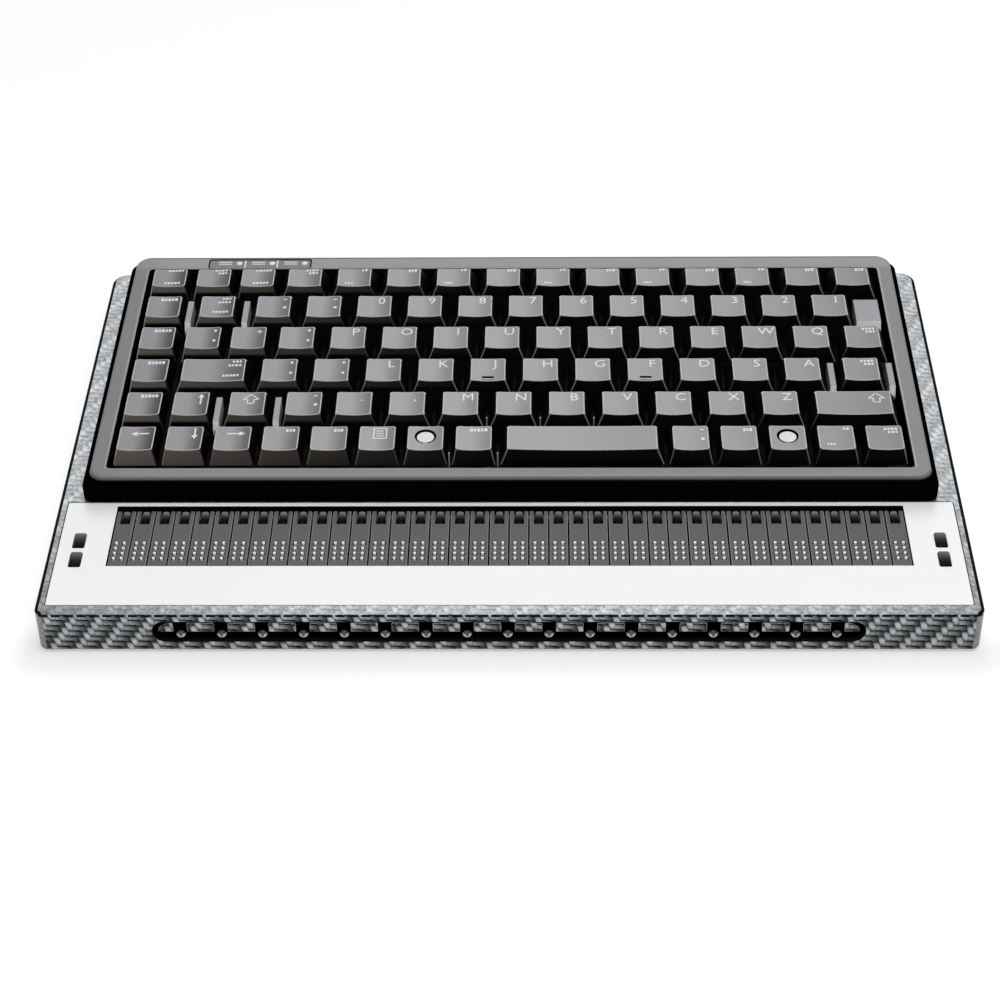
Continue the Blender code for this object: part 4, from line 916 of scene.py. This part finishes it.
class NOTETAKER_OT_cells(bpy.types.Operator):
    """Caps of the 40 braille cells"""

    bl_idname = "notetaker.cells"
    bl_label = "Braille cells"

    def execute(self, context):
        sizes = context.scene.notetaker_braille
        bm = copies(cell_mesh(sizes), spread(sizes.cells, sizes.pitch))
        carrier = within(
            CELLS, *mm(0, 0.1, 6.7), CELLS.low.z, CELLS.high.z - sizes.cap + 0.1 * MM
        )
        cells = as_object("cell_caps", add_mesh(bm, box_mesh(*carrier), 1))
        grey = moulded(
            "Cell caps", context.scene.notetaker_colours.cap, 0.42, change=0.2, specular=0.2
        )
        # Painted highlights on the caps' slanting edges and beside the notches
        cap_highlight = moulded("Cap edges", 0x8C8C8E, 0.4, change=0.1)
        dress(cells, "root", [grey, black_plastic(), cap_highlight], ["braille_cells"])
        window_shade_lining(context.scene.notetaker_case.window_gap)
        return {"FINISHED"}


def cell_mesh(sizes):
    """One cell's cap about its middle: a notch at the rear, and a hole for each dot."""
    half, notch, top = (sizes.pitch - sizes.gap) / 2, sizes.notch / 2, CELLS.high.z
    corners = (
        Vector((-half, CELLS.low.y, top - sizes.cap)), Vector((half, CELLS.high.y, top))
    )
    unit = as_object("cell_unit", tray_mesh(
        corners, 0.3 * MM, 0.3 * MM, 0.2 * MM, steps=2, edge_steps=2
    ))
    notch_block = box_mesh(
        (-notch, CELLS.high.y - sizes.notch_depth, top - 2 * MM),
        (notch, CELLS.high.y + 1 * MM, top + 1 * MM),
    )
    hole = post_mesh(sizes.hole_radius, top - 2 * MM, top + 1 * MM, 12)
    bm = as_mesh(carve(unit, [notch_block, copies(hole, dot_places(sizes, [(0, 0, 0)]))]))
    bm.normal_update()
    # Slanting faces and the notch's softened edges take the third finish, the painted highlights
    for face in bm.faces:
        leaning = 0.3 < face.normal.z < 0.95 and abs(face.normal.x) > 0.3
        face.material_index = 2 if leaning else 0
    notched = edges_along(
        bm, 1, lambda m: abs(m.z - top) < 1e-6 and abs(abs(m.x) - notch) < 1e-5
    )
    for face in soften(bm, notched, 0.25 * MM, 1):
        face.material_index = 2
    return clean(bm)


def window_shade_lining(back):
    """Thin black lining of the braille window, with a wider strip at the back, as painted shade
    round the cells.
    """
    outside = within(
        CELLS, -0.28 * MM, -0.28 * MM, 0.03 * MM - back, DECK - 3 * MM, DECK - 0.1 * MM
    )
    inside = within(CELLS, *mm(-0.06, -0.06, -0.3), DECK - 4 * MM, DECK + 1 * MM)
    lining = carve(as_object("window_shade_lining", box_mesh(*outside)), [box_mesh(*inside)])
    dress(lining, "root", [black_plastic()], ())


def dot_places(sizes, middles):
    """Where the eight dots of each cell stand, for cells whose middles are given."""
    first, pitch = CELLS.low.y + sizes.first_dot, sizes.dot_pitch
    return [
        (middle[0] + column * pitch, first + row * pitch, 0)
        for middle in middles for column in (-0.5, 0.5) for row in range(4)
    ]


class NOTETAKER_OT_pins(bpy.types.Operator):
    """The 320 pins and the bank that carries them"""

    bl_idname = "notetaker.pins"
    bl_label = "Braille pins"

    def execute(self, context):
        sizes = context.scene.notetaker_braille
        low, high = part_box("braille_pins")
        foot = high.z - sizes.pin_length
        pin = post_mesh(sizes.pin_radius, foot, high.z, 10, 0.25 * MM, 2)
        bm = copies(pin, dot_places(sizes, spread(sizes.cells, sizes.pitch)))
        add_mesh(bm, box_mesh(low, (high.x, high.y, foot)), 1)
        white = moulded("Pins", context.scene.notetaker_colours.pin, 0.35, change=0.04)
        dress(
            as_object("pin_bank", bm), "braille_pins", [white, black_plastic()],
            ["braille_pins"], limit=50,
        )
        return {"FINISHED"}


class NOTETAKER_OT_routing(bpy.types.Operator):
    """The 40 routing buttons on their strip"""

    bl_idname = "notetaker.routing"
    bl_label = "Routing buttons"

    def execute(self, context):
        sizes = context.scene.notetaker_braille
        low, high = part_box("routing_buttons")
        half, strip = sizes.button_width / 2, low.z + 1.5 * MM
        unit = box_mesh((-half, low.y, strip - 0.1 * MM), (half, high.y, high.z), 1 * MM)
        upper = [e for e in unit.edges if max(v.co.z for v in e.verts) > strip]
        soften(unit, upper, 0.8 * MM, 4)
        bm = copies(unit, spread(sizes.cells, sizes.pitch))
        add_mesh(bm, box_mesh(low, (high.x, high.y, strip)))
        black = moulded(
            "Routing black", context.scene.notetaker_colours.black, 0.3, depth=0.002 * MM,
            specular=0.05,
        )
        # A painted highlight towards the rear of each button
        y = surface(black.node_tree)[0][1]
        painted_light_tone(black, y.ramp(low.y + 1 * MM, high.y - 1.2 * MM), 0x767678, 4.0)
        dress(
            as_object("routing_row", bm), "routing_buttons", [black], ["routing_buttons"],
            limit=50,
        )
        return {"FINISHED"}


class NOTETAKER_OT_side_buttons(bpy.types.Operator):
    """Two domed buttons at each end of the braille line"""

    bl_idname = "notetaker.side_buttons"
    bl_label = "Side buttons"

    def execute(self, context):
        black = moulded("Button black", 0x060607, 0.3, depth=0.002 * MM, specular=0.05)
        # A painted highlight towards the rear of each button, repeating every 9.3 mm
        y = surface(black.node_tree)[0][1]
        share = ((y - (CELLS.low.y + 7.35 * MM)) / (9.3 * MM)).part()
        painted_light_tone(black, share.ramp(0.2, 0.78), 0x707072)
        for node in SIDE_BUTTONS:
            box = Box(*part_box(node))
            cap = within(box, *mm(0.95, 0.85, 0.85), box.low.z, box.high.z)
            bm = tray_mesh(cap, 0.5 * MM, 0.5 * MM, 0.9 * MM, steps=5)
            flange = within(box, 0, 0, 0, box.low.z, box.low.z + 0.9 * MM)
            add_mesh(bm, tray_mesh(flange, 2 * MM, 2 * MM, steps=4))
            dress(as_object(f"{node}_cap", bm), node, [black], [node], limit=50)
        return {"FINISHED"}


class NOTETAKER_OT_bar(bpy.types.Operator):
    """Navigation bar: pads above, studs in a channel below"""

    bl_idname = "notetaker.bar"
    bl_label = "Navigation bar"

    def execute(self, context):
        sizes = context.scene.notetaker_bar
        pitch = 2 * context.scene.notetaker_braille.pitch
        places = spread(sizes.studs, pitch)
        past = 1 * MM
        floor = BAR.low.y + sizes.pad_depth
        back, foot = floor + sizes.body, BAR.high.z - sizes.pad_height
        body = stadium_mesh((BAR.low.x, floor, BAR.low.z), (BAR.high.x, back, BAR.high.z))
        dress(
            as_object("bar_body", body), "navigation_bar", [black_plastic()],
            ["navigation_bar"],
        )
        pads = stadium_mesh(BAR.low, (BAR.high.x, floor + 0.1 * MM, BAR.high.z))
        below = box_mesh(
            (BAR.low.x - past, BAR.low.y - past, BAR.low.z - past), (BAR.high.x + past, back, foot)
        )
        notch = box_mesh(
            (-sizes.notch / 2, BAR.low.y - past, foot - past / 2),
            (sizes.notch / 2, back, BAR.high.z + past),
        )
        pads = carve(as_object("bar_pads", pads), [below, copies(notch, places)])
        dress(pads, "navigation_bar", [carbon_material()], (), 0.25 * MM)
        height = BAR.low.z + sizes.stud_height
        stud = turned(post_mesh(sizes.stud_radius, 0.0, 1.2 * MM, 20, 0.95 * MM, 5), 90, "X")
        studs = moved(copies(stud, places), (0, BAR.low.y + 1.2 * MM, height))
        dress(
            as_object("bar_studs", studs), "navigation_bar",
            [stud_material(sizes, pitch, height)], (), limit=50,
        )
        return {"FINISHED"}


class NOTETAKER_OT_tray(bpy.types.Operator):
    """Black lower shell of the keyboard"""

    bl_idname = "notetaker.tray"
    bl_label = "Keyboard tray"

    def execute(self, context):
        foot = DECK + 0.3 * MM
        tray = as_object("tray_shell", tray_mesh(
            within(TRAY, *mm(0.3, -0.45, 0), foot, TRAY.high.z), 3.6 * MM, 5.6 * MM,
            0.4 * MM, 0.5 * MM, steps=10, edge_steps=2,
        ))
        tub = Box(*within(TRAY, *mm(5.2, 4.7, 5.8), TRAY.low.z, foot + 0.4 * MM))
        carve(tray, [tray_mesh(tub, 5.7 * MM, 5.7 * MM)], "UNION")
        well = within(tub, WALL, WALL, WALL, tub.low.z + 1 * MM, TRAY.high.z + ABOVE)
        carve(tray, [tray_mesh(well, 3.5 * MM, 3.5 * MM)])
        dress(tray, "root", [black_plastic()], ["keyboard_tray"])
        return {"FINISHED"}


class NOTETAKER_OT_rim(bpy.types.Operator):
    """Grey frame round the keys, with the status window's recess"""

    bl_idname = "notetaker.rim"
    bl_label = "Keyboard frame"

    def execute(self, context):
        rim = as_object("rim_shell", tray_mesh(
            RIM, 5 * MM, 5.4 * MM, 1.7 * MM, steps=12, edge_steps=6
        ))
        foot, top = RIM.low.z - 1 * MM, RIM.high.z + 1 * MM
        well = within(RIM, SIDE_RAIL, FRONT_RAIL, BACK_RAIL, foot, top)
        recess = within(GLASS, *mm(-0.3, -0.3, 0), GLASS.low.z - 0.3 * MM, GLASS.high.z + 1 * MM)
        carve(rim, [
            tray_mesh(well, 1.5 * MM, 1.5 * MM, steps=4),
            tray_mesh(recess, 1 * MM, 1 * MM, steps=4),
        ])
        dress(rim, "root", [rim_material()], ["keyboard_frame"], 0.15 * MM)
        return {"FINISHED"}


class NOTETAKER_OT_status(bpy.types.Operator):
    """Status window with its lamps and marks"""

    bl_idname = "notetaker.status"
    bl_label = "Status window"

    def execute(self, context):
        top = GLASS.high.z
        glass = tray_mesh(
            within(GLASS, *mm(0.15, -0.26, 0.85), GLASS.low.z, top), 0.9 * MM, 0.9 * MM,
            0.1 * MM, steps=4, edge_steps=2,
        )
        smoke = moulded("Window smoke", 0x77777A, 0.15, depth=0.001 * MM, coat=0.5)
        glass = as_object("status_glass", glass)
        dress(glass, "root", [smoke], ["status_window"])
        seat = within(GLASS, *mm(-0.28, -0.28, 0.02), GLASS.low.z - 0.2 * MM, top - 0.25 * MM)
        seat = as_object("status_seat", tray_mesh(seat, 1 * MM, 1 * MM))
        dress(seat, "root", [black_plastic()], ())
        pale = moulded("Lamp lens", 0xE8E8E6, 0.25, change=0.05, coat=0.5)
        marks = as_object("status_lamps", status_marks(top))
        dress(marks, "root", [pale], (), limit=50)
        return {"FINISHED"}


def status_marks(top):
    """Three lamps, each with two pale bars to its left, and two dividers between them."""
    lamps, dividers = mm(-76.3, -88.2, -100.3), mm(-98.1, -86.3)
    middle, foot = (GLASS.low.y + GLASS.high.y) / 2, top - 0.1 * MM
    bar, half = Vector(mm(4.8, 0.5, 0.13)), 0.25 * MM
    lamp = post_mesh(1.1 * MM, top - 0.2 * MM, top + 0.25 * MM, 20, 0.3 * MM, 3)
    bm = copies(lamp, [(x, middle, 0) for x in lamps])
    for x in lamps:
        for y in mm(-0.7, 0.6):
            low = Vector((x - 7.5 * MM, middle + y, foot))
            add_mesh(bm, box_mesh(low, low + bar))
    for x in dividers:
        add_mesh(bm, box_mesh(
            (x - half, GLASS.low.y + 0.1 * MM, foot),
            (x + half, GLASS.high.y - 1.1 * MM, top + 0.05 * MM),
        ))
    return bm


def lay_row(kinds, sizes):
    """A row from its left end at 0: the middle and kind of each key, and its length."""
    keys, edge, gap = [], 0.0, 0.0
    for kind in kinds:
        if kind == RIB:
            gap = sizes.rib_gap
            continue
        edge += gap
        width = KEY_WIDTHS[kind][0]
        keys.append((edge + width / 2, kind))
        edge += width
        gap = sizes.gap
    return keys, edge


def dish_depth(x, y, kind, depth, sizes):
    """How far a key's top lies below its rim: deepest at the front, less at the back."""
    across = 2 * x / KEY_WIDTHS[kind][1]
    ahead = min(max((depth / 2 - FRONT_SLOPE - y) / (depth - FRONT_SLOPE), 0), 1)
    return sizes.dish * (0.25 + 0.75 * ahead) * max(1 - across * across, 0)


def cap_mesh(kind, depth, sizes):
    """A key cap about its middle: a dished top on a sloping skirt, closed below."""
    skirt, top = KEY_WIDTHS[kind]
    front, back = FRONT_SLOPE - depth / 2, depth / 2 - BACK_SLOPE
    # The top is a grid, and the skirt grows down and outwards from its rim
    bm = bmesh.new()
    bmesh.ops.create_grid(bm, x_segments=8, y_segments=2, size=0.5)
    bmesh.ops.scale(bm, vec=(top, back - front, 1), verts=bm.verts)
    moved(bm, (0, (front + back) / 2, 0))
    rim = [e for e in bm.edges if e.is_boundary]
    grown = bmesh.ops.extrude_edge_only(bm, edges=rim)["geom"]
    lower = [v for v in grown if isinstance(v, bmesh.types.BMVert)]
    growth = depth / (back - front)
    bmesh.ops.scale(bm, vec=(skirt / top, growth, 1), verts=lower)
    bmesh.ops.translate(bm, vec=(0, -(front + back) / 2 * growth, -sizes.height), verts=lower)
    for vert in bm.verts:
        if vert.co.z > -sizes.height / 2:
            vert.co.z = -dish_depth(vert.co.x, vert.co.y, kind, depth, sizes)
    # The underside closes the cap
    bmesh.ops.contextual_create(bm, geom=[e for e in bm.edges if e.is_boundary])
    bmesh.ops.recalc_face_normals(bm, faces=bm.faces)
    bm.normal_update()
    for face in bm.faces:
        face.material_index = TOP if face.normal.z > 0.8 else SIDE
    # Rounded upright corners of the skirt, their slanting faces with painted highlights
    corners = []
    for edge in bm.edges:
        foot, head = sorted((vert.co for vert in edge.verts), key=lambda place: place.z)
        upright = head.z - foot.z > sizes.height / 2 and abs(abs(head.x) - top / 2) < 1e-6
        if upright and min(abs(head.y - front), abs(head.y - back)) < 1e-6:
            corners.append(edge)
    for face in soften(bm, corners, sizes.corner, 3):
        slanting = abs(abs(face.normal.x) - abs(face.normal.y)) < 0.35
        face.material_index = CORNER if slanting else SIDE
    # The rounded edge between top and skirt, whose upper faces carry painted highlights
    rim = [e for e in bm.edges if sorted(f.normal.z > 0.8 for f in e.link_faces) == [False, True]]
    for face in soften(bm, rim, sizes.edge, 2):
        if face.material_index != CORNER or face.normal.z > 0.7:
            face.material_index = EDGE if face.normal.z > 0.7 else SIDE
    # Where a point lies across the top, for the shade on key tops
    layer = bm.loops.layers.uv.new("across")
    for face in bm.faces:
        for loop in face.loops:
            loop[layer].uv = (loop.vert.co.x / top + 0.5, loop.vert.co.y / depth + 0.5)
    return bm


def text_mark(letters, size):
    """A letter, number or sign as a thin solid about its middle."""
    curve = bpy.data.curves.new("mark", "FONT")
    curve.body = letters
    curve.size = size
    curve.extrude = MARK_HALF
    curve.resolution_u = 2
    curve.align_x = "CENTER"
    curve.align_y = "CENTER"
    helper = bpy.data.objects.new("mark", curve)
    bpy.context.scene.collection.objects.link(helper)
    bpy.context.view_layer.update()
    graph = bpy.context.evaluated_depsgraph_get()
    mesh = bpy.data.meshes.new_from_object(helper.evaluated_get(graph))
    bm = bmesh.new()
    bm.from_mesh(mesh)
    bmesh.ops.remove_doubles(bm, verts=bm.verts, dist=1e-6)
    bpy.data.objects.remove(helper)
    bpy.data.curves.remove(curve)
    bpy.data.meshes.remove(mesh)
    return bm


def block_mark(blocks):
    """Thin blocks, each given as middle x, middle y, width and depth, in millimetres."""
    bm = bmesh.new()
    for x, y, width, depth in blocks:
        middle, half = Vector(mm(x, y, 0)), Vector((*mm(width / 2, depth / 2), MARK_HALF))
        add_mesh(bm, box_mesh(middle - half, middle + half))
    return bm


def arrow_mark(angle, long):
    """A plain arrow that points the way of the angle from straight up."""
    half = 0.3 * MM
    shaft = box_mesh((-half, -long / 2, -MARK_HALF), (half, long / 2 - 1 * MM, MARK_HALF))
    head = post_mesh(1.3 * MM, -MARK_HALF, MARK_HALF, 3)
    point = max(head.verts, key=lambda v: v.co.y).co.y
    return turned(add_mesh(shaft, moved(head, (0, long / 2 - point, 0))), angle, "Z")


def word_blocks(widths, right, y, tall, gap=0.35):
    """A row of small blocks in place of a word, set from its right end."""
    blocks, x = [], right
    for width in reversed(widths):
        blocks.append((x - width / 2, y, width, tall))
        x -= width + gap
    return blocks


def key_marks(mark, kind, depth, sizes):
    """What stands on a key's top, as one thin mesh that follows the dish."""
    half = KEY_WIDTHS[kind][1] / 2
    if mark in ARROWS:
        angle, long, x = ARROWS[mark]
        bm = moved(arrow_mark(angle, long), (x, 1.6 * MM, 0))
    elif mark in WORDS:
        right = half / MM - 1.5
        bm = block_mark([
            block for widths, shift, y, tall in WORDS[mark]
            for block in word_blocks(widths, right + shift, y, tall)
        ])
    elif mark in SIGNS:
        bm = block_mark(SIGNS[mark])
    else:
        bm = moved(text_mark(mark, sizes.letter), mm(2.5, 2.2, 0))
    if mark == "shift":
        for turn, x in ((-45, -0.4 * MM), (45, 2.4 * MM)):
            slope = box_mesh(
                (-0.2 * MM, -1.8 * MM, -MARK_HALF), (0.2 * MM, 1.9 * MM, MARK_HALF)
            )
            add_mesh(bm, moved(turned(slope, turn, "Z"), (x, 2.7 * MM, 0)))
        moved(bm, (half - 6 * MM, 0, 0))
    for vert in bm.verts:
        vert.co.z -= dish_depth(vert.co.x, vert.co.y, kind, depth, sizes)
    return bm


def add_dome(bm, low):
    """A bare round dome in a black ring, in the middle of a key."""
    add_mesh(bm, post_mesh(3.6 * MM, low, -0.16 * MM, 32), BLACK)
    dome = post_mesh(3.0 * MM, low, -0.02 * MM, 32, 0.5 * MM, 4)
    add_mesh(bm, moved(dome, (0, -0.65 * MM, 0)), MARK)


def add_home_bar(bm, front, level):
    """A raised bar near the front edge, for finding the key by touch, and a black strip behind it
    as painted shadow.
    """
    for y, deep, high, material in ((0.6, 0.5, 0.4, EDGE), (1.1, 1.3, 0.3, BLACK)):
        low = Vector((-2 * MM, front + y * MM, level - 0.2 * MM))
        bar = box_mesh(low, low + Vector(mm(4, deep, 0.2 + high)))
        soften(bar, edges_along(bar, 2), 0.24 * MM, 2)
        add_mesh(bm, clean(bar), material)


def marked_cap(mark, home, kind, depth, sizes):
    """A key cap with what stands on it, and its bar if it is a home key."""
    bm = cap_mesh(kind, depth, sizes)
    if mark == "dome":
        add_dome(bm, -dish_depth(0, 0, kind, depth, sizes) - 0.3 * MM)
    else:
        add_mesh(bm, key_marks(mark, kind, depth, sizes), MARK)
    if home:
        front = FRONT_SLOPE - depth / 2
        add_home_bar(bm, front, -dish_depth(0, front, kind, depth, sizes))
    return bm


class NOTETAKER_OT_keys(bpy.types.Operator):
    """All 86 key caps, with their marks"""

    bl_idname = "notetaker.keys"
    bl_label = "Keys"

    def execute(self, context):
        sizes, colours = context.scene.notetaker_keys, context.scene.notetaker_colours
        # Tops painted light and skirts dark, as lit and shaded tones of one dark plastic
        finishes = [
            key_top_material(colours.key_top),
            key_side_material(colours.key_side),
            key_edge_material(colours.key_edge),
            key_corner_material(colours.key_corner),
            moulded("Key marks", colours.legend, 0.5, change=0.05),
            black_plastic(),
        ]
        longest = max(lay_row(kinds, sizes)[1] for kinds, singles, marks in ROWS.values())
        front = RIM.low.y + sizes.first
        ribs = bmesh.new()
        for name, (kinds, singles, marks) in ROWS.items():
            depth = sizes.function_depth if name == "function" else sizes.depth
            nodes = singles.split() or [f"{name}_row_keys"]
            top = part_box(nodes[0])[1].z
            caps = []
            for number, (middle, kind) in enumerate(lay_row(kinds, sizes)[0]):
                place = Vector((middle - longest / 2, front + depth / 2, top))
                mark, home = marks.split()[number], (name, number) in HOME_BARS
                caps.append(moved(marked_cap(mark, home, kind, depth, sizes), place))
                # A thin pale strip in the gap, as painted light seen through it
                if (name, number) in PAINTED_GAP_LIGHTS:
                    x = place.x + (KEY_WIDTHS[kind][0] + sizes.gap) / 2
                    low = Vector((x - 0.2 * MM, front + 0.3 * MM, top - sizes.height - 1 * MM))
                    add_mesh(ribs, box_mesh(low, low + Vector(mm(0.4, 0.8, 5.6))))
            if not singles:
                whole = bmesh.new()
                for cap in caps:
                    add_mesh(whole, cap)
                caps = [whole]
            for node, cap in zip(nodes, caps):
                cap = as_object(f"{node}_cap" if singles else f"{name}_row_caps", cap)
                dress(cap, node, finishes, [node], limit=50)
            front += depth + sizes.row_gap
        # Painted light in the gaps between skirts
        pale = moulded("Painted gap light", 0x9C9C9E, 0.5)
        dress(as_object("painted_gap_light", ribs), "root", [pale], ())
        return {"FINISHED"}


class NOTETAKER_OT_carried(bpy.types.Operator):
    """Finishes of the pieces that keep their own shape"""

    bl_idname = "notetaker.carried"
    bl_label = "Carried pieces"

    def execute(self, context):
        rubber = moulded("Rubber", 0x1C1C1C, 0.8, depth=0.02 * MM)
        board = moulded("Board green", 0x1F5A34, 0.35, coat=0.3)
        steel = moulded("Steel", 0xB8B8BC, 0.28, depth=0.002 * MM, metallic=1.0)
        wrap = moulded("Battery wrap", 0x22386E, 0.35)
        cover = moulded("Cover black", 0x1A1A1C, 0.55, grain=2500.0, depth=0.03 * MM)
        finishes = {
            "bottom_cover": cover, "bar_carriage": cover, "power_switch": cover,
            "cell_backplane": board, "main_board": board, "status_board": board,
            "key_membrane": board, "battery_pack": wrap, "key_plate": well_material(),
            "usb_socket": steel,
        }
        for name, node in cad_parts.items():
            finish = rubber if name.startswith("foot_") else finishes.get(name)
            if finish:
                node.data.materials.clear()
                node.data.materials.append(finish)
        return {"FINISHED"}


class NOTETAKER_OT_details(bpy.types.Operator):
    """Screws of the bottom cover, the socket's tongue and the switch's ribs"""

    bl_idname = "notetaker.details"
    bl_label = "Small details"

    def execute(self, context):
        steel = moulded("Screw steel", 0x6A6A6E, 0.3, depth=0.002 * MM, metallic=1.0)
        foot = CASE.low + Vector((-CASE.low.x, 0, -0.25 * MM))
        places = [foot + Vector(mm(x, y, 0)) for x in (-120, 0, 120) for y in (40, 150)]
        screws = as_object("cover_screws", copies(screw_mesh(), places))
        dress(screws, "root", [steel], (), limit=50)
        middle = (SOCKET.low + SOCKET.high) / 2
        reach = Vector(mm(2.6, 0, 0.35))
        tongue = as_object("socket_tongue", box_mesh(
            Vector((middle.x, SOCKET.high.y - 6.2 * MM, middle.z)) - reach,
            Vector((middle.x, SOCKET.high.y - 0.8 * MM, middle.z)) + reach,
        ))
        dress(tongue, "root", [black_plastic()], (), 0.1 * MM)
        knob = (SWITCH.low + SWITCH.high) / 2
        rib = box_mesh(mm(-0.2, -0.4, -1.0), mm(0.2, 0.1, 1.0))
        places = [(knob.x + step, SWITCH.high.y, knob.z) for step in mm(-0.9, 0, 0.9)]
        ribs = as_object("switch_ribs", copies(rib, places))
        grey = moulded("Switch ribs", 0x56565A, 0.5)
        dress(ribs, "power_switch", [grey], (), 0.05 * MM)
        return {"FINISHED"}


def screw_mesh():
    """A round screw head, seen from below, with a cross cut into it."""
    arms = Vector(mm(1.3, 0.28, 0.25)), Vector(mm(0.28, 1.3, 0.25))
    head = as_object("screw", post_mesh(2.3 * MM, 0.0, 0.6 * MM, 24))
    return as_mesh(carve(head, [box_mesh(-arm, arm) for arm in arms]))


class NOTETAKER_OT_stage(bpy.types.Operator):
    """Pale floor, soft lights and the camera"""

    bl_idname = "notetaker.stage"
    bl_label = "Stage"

    def execute(self, context):
        bm = bmesh.new()
        bmesh.ops.create_grid(bm, x_segments=1, y_segments=1, size=6)
        floor = as_object("floor", bm)
        floor.data.materials.append(floor_material())
        sky(context.scene)
        soft_light("overhead", (0.2, -0.24, 1.25), 0.7, 10.5)
        soft_light("front_fill", (-0.5, -1.2, 0.9), 1.0, 2.3)
        add_camera(context.scene)
        context.scene.view_settings.view_transform = "Standard"
        return {"FINISHED"}


def plain_rays(tree):
    """1 for rays from the camera and for those seen in gloss or through glass."""
    path = add_node(tree, "LightPath").outputs
    return Wire(path["Is Camera Ray"]) | path["Is Glossy Ray"] | path["Is Transmission Ray"]


def floor_material():
    """White for the camera, but for the object's shadow and a painted soft shadow in front of it.
    """
    material = bpy.data.materials.new("Floor")
    material.use_nodes = True
    tree = material.node_tree
    tree.nodes.clear()
    glow_strength = 0.68

    def lit(kind, grey, **inputs):
        return add_node(tree, kind, {"Color": (grey, grey, grey, 1), **inputs}).outputs[0]

    place = add_node(tree, "TexCoord").outputs["Object"]
    at = split(place)
    # Painted shadow: a soft shade just in front of the case, fading out over 14 mm
    ahead = CASE.low.y - at[1] | 0.0
    aside = abs(at[0]) - (CASE.high.x - 3 * MM) | 0.0
    dim = 1.0 - distance(aside, ahead).ramp(0.0, 14 * MM) ** 1.7
    beside = at[1].ramp(CASE.low.y + 12 * MM, CASE.low.y)
    dim = dim * beside * -0.31 + 1.0
    glow = lit("Emission", 1, Strength=dim * glow_strength)
    bright = add_node(tree, "AddShader", {0: lit("BsdfDiffuse", 0.42), 1: glow}).outputs[0]
    fade = distance(at[0], at[1]).ramp(0.3, 0.6)
    white = lit("Emission", 1, Strength=1.0)
    seen = add_node(tree, "MixShader", {0: fade, 1: bright, 2: white}).outputs[0]
    plain = lit("BsdfDiffuse", 0.75)
    mix = add_node(tree, "MixShader", {0: plain_rays(tree), 1: plain, 2: seen}).outputs[0]
    add_node(tree, "OutputMaterial", {"Surface": mix})
    return material


def sky(scene):
    """Even grey light, seen as white."""
    world = bpy.data.worlds.new("Studio")
    world.use_nodes = True
    background = world.node_tree.nodes["Background"].inputs
    background["Color"].default_value = (1, 1, 1, 1)
    put(background["Strength"], plain_rays(world.node_tree).mix(0.28, 1.0))
    scene.world = world


def soft_light(name, place, size, power):
    """A square area light that faces the object."""
    light = bpy.data.lights.new(name, "AREA")
    light.size = size
    light.energy = power
    lamp = bpy.data.objects.new(name, light)
    lamp.location = place
    lamp.rotation_euler = (-Vector(place)).to_track_quat("-Z", "Y").to_euler()
    bpy.context.scene.collection.objects.link(lamp)


def add_camera(scene):
    """The camera that the photograph was taken with, as fitted to the object."""
    camera = bpy.data.cameras.new("camera")
    camera.sensor_width = 36
    camera.lens = 36 * 2397.7 / 1000
    view = bpy.data.objects.new("camera", camera)
    pitch, yaw, roll = math.radians(39.39), math.radians(-0.94), math.radians(-0.06)
    ahead = Vector((0, math.cos(pitch), -math.sin(pitch)))
    right = Vector((1, 0, 0))
    up = right.cross(ahead)
    ahead, right = (
        ahead * math.cos(yaw) + right * math.sin(yaw),
        right * math.cos(yaw) - ahead * math.sin(yaw),
    )
    right, up = (
        right * math.cos(roll) + up * math.sin(roll),
        up * math.cos(roll) - right * math.sin(roll),
    )
    turn = Matrix((right, up, -ahead)).transposed().to_4x4()
    place = Vector((9.8 * MM, CASE.low.y - 552.7 * MM, CASE.low.z + 514.9 * MM))
    view.matrix_world = Matrix.Translation(place) @ turn
    scene.collection.objects.link(view)
    scene.camera = view


class NOTETAKER_PT_panel(bpy.types.Panel):
    """Lists the pieces, sizes and colours"""

    bl_idname = "NOTETAKER_PT_panel"
    bl_label = "Braille notetaker"
    bl_space_type = "VIEW_3D"
    bl_region_type = "UI"
    bl_category = "Notetaker"

    def draw(self, context):
        for operator in OPERATORS:
            self.layout.operator(operator.bl_idname)
        for name, group in SETTINGS:
            box = self.layout.box()
            for prop in group.__annotations__:
                box.prop(getattr(context.scene, name), prop)


OPERATORS = (
    NOTETAKER_OT_case, NOTETAKER_OT_plate, NOTETAKER_OT_cells, NOTETAKER_OT_pins,
    NOTETAKER_OT_routing, NOTETAKER_OT_side_buttons, NOTETAKER_OT_bar, NOTETAKER_OT_tray,
    NOTETAKER_OT_rim, NOTETAKER_OT_status, NOTETAKER_OT_keys, NOTETAKER_OT_carried,
    NOTETAKER_OT_details, NOTETAKER_OT_stage,
)


def register():
    for name, group in SETTINGS:
        bpy.utils.register_class(group)
        setattr(bpy.types.Scene, name, PointerProperty(type=group))
    for operator in OPERATORS:
        bpy.utils.register_class(operator)
    bpy.utils.register_class(NOTETAKER_PT_panel)


def unregister():
    bpy.utils.unregister_class(NOTETAKER_PT_panel)
    for operator in reversed(OPERATORS):
        bpy.utils.unregister_class(operator)
    for name, group in reversed(SETTINGS):
        delattr(bpy.types.Scene, name)
        bpy.utils.unregister_class(group)


def main():
    register()
    for operator in OPERATORS:
        family, name = operator.bl_idname.split(".")
        getattr(getattr(bpy.ops, family), name)()


if __name__ == "__main__":
    main()
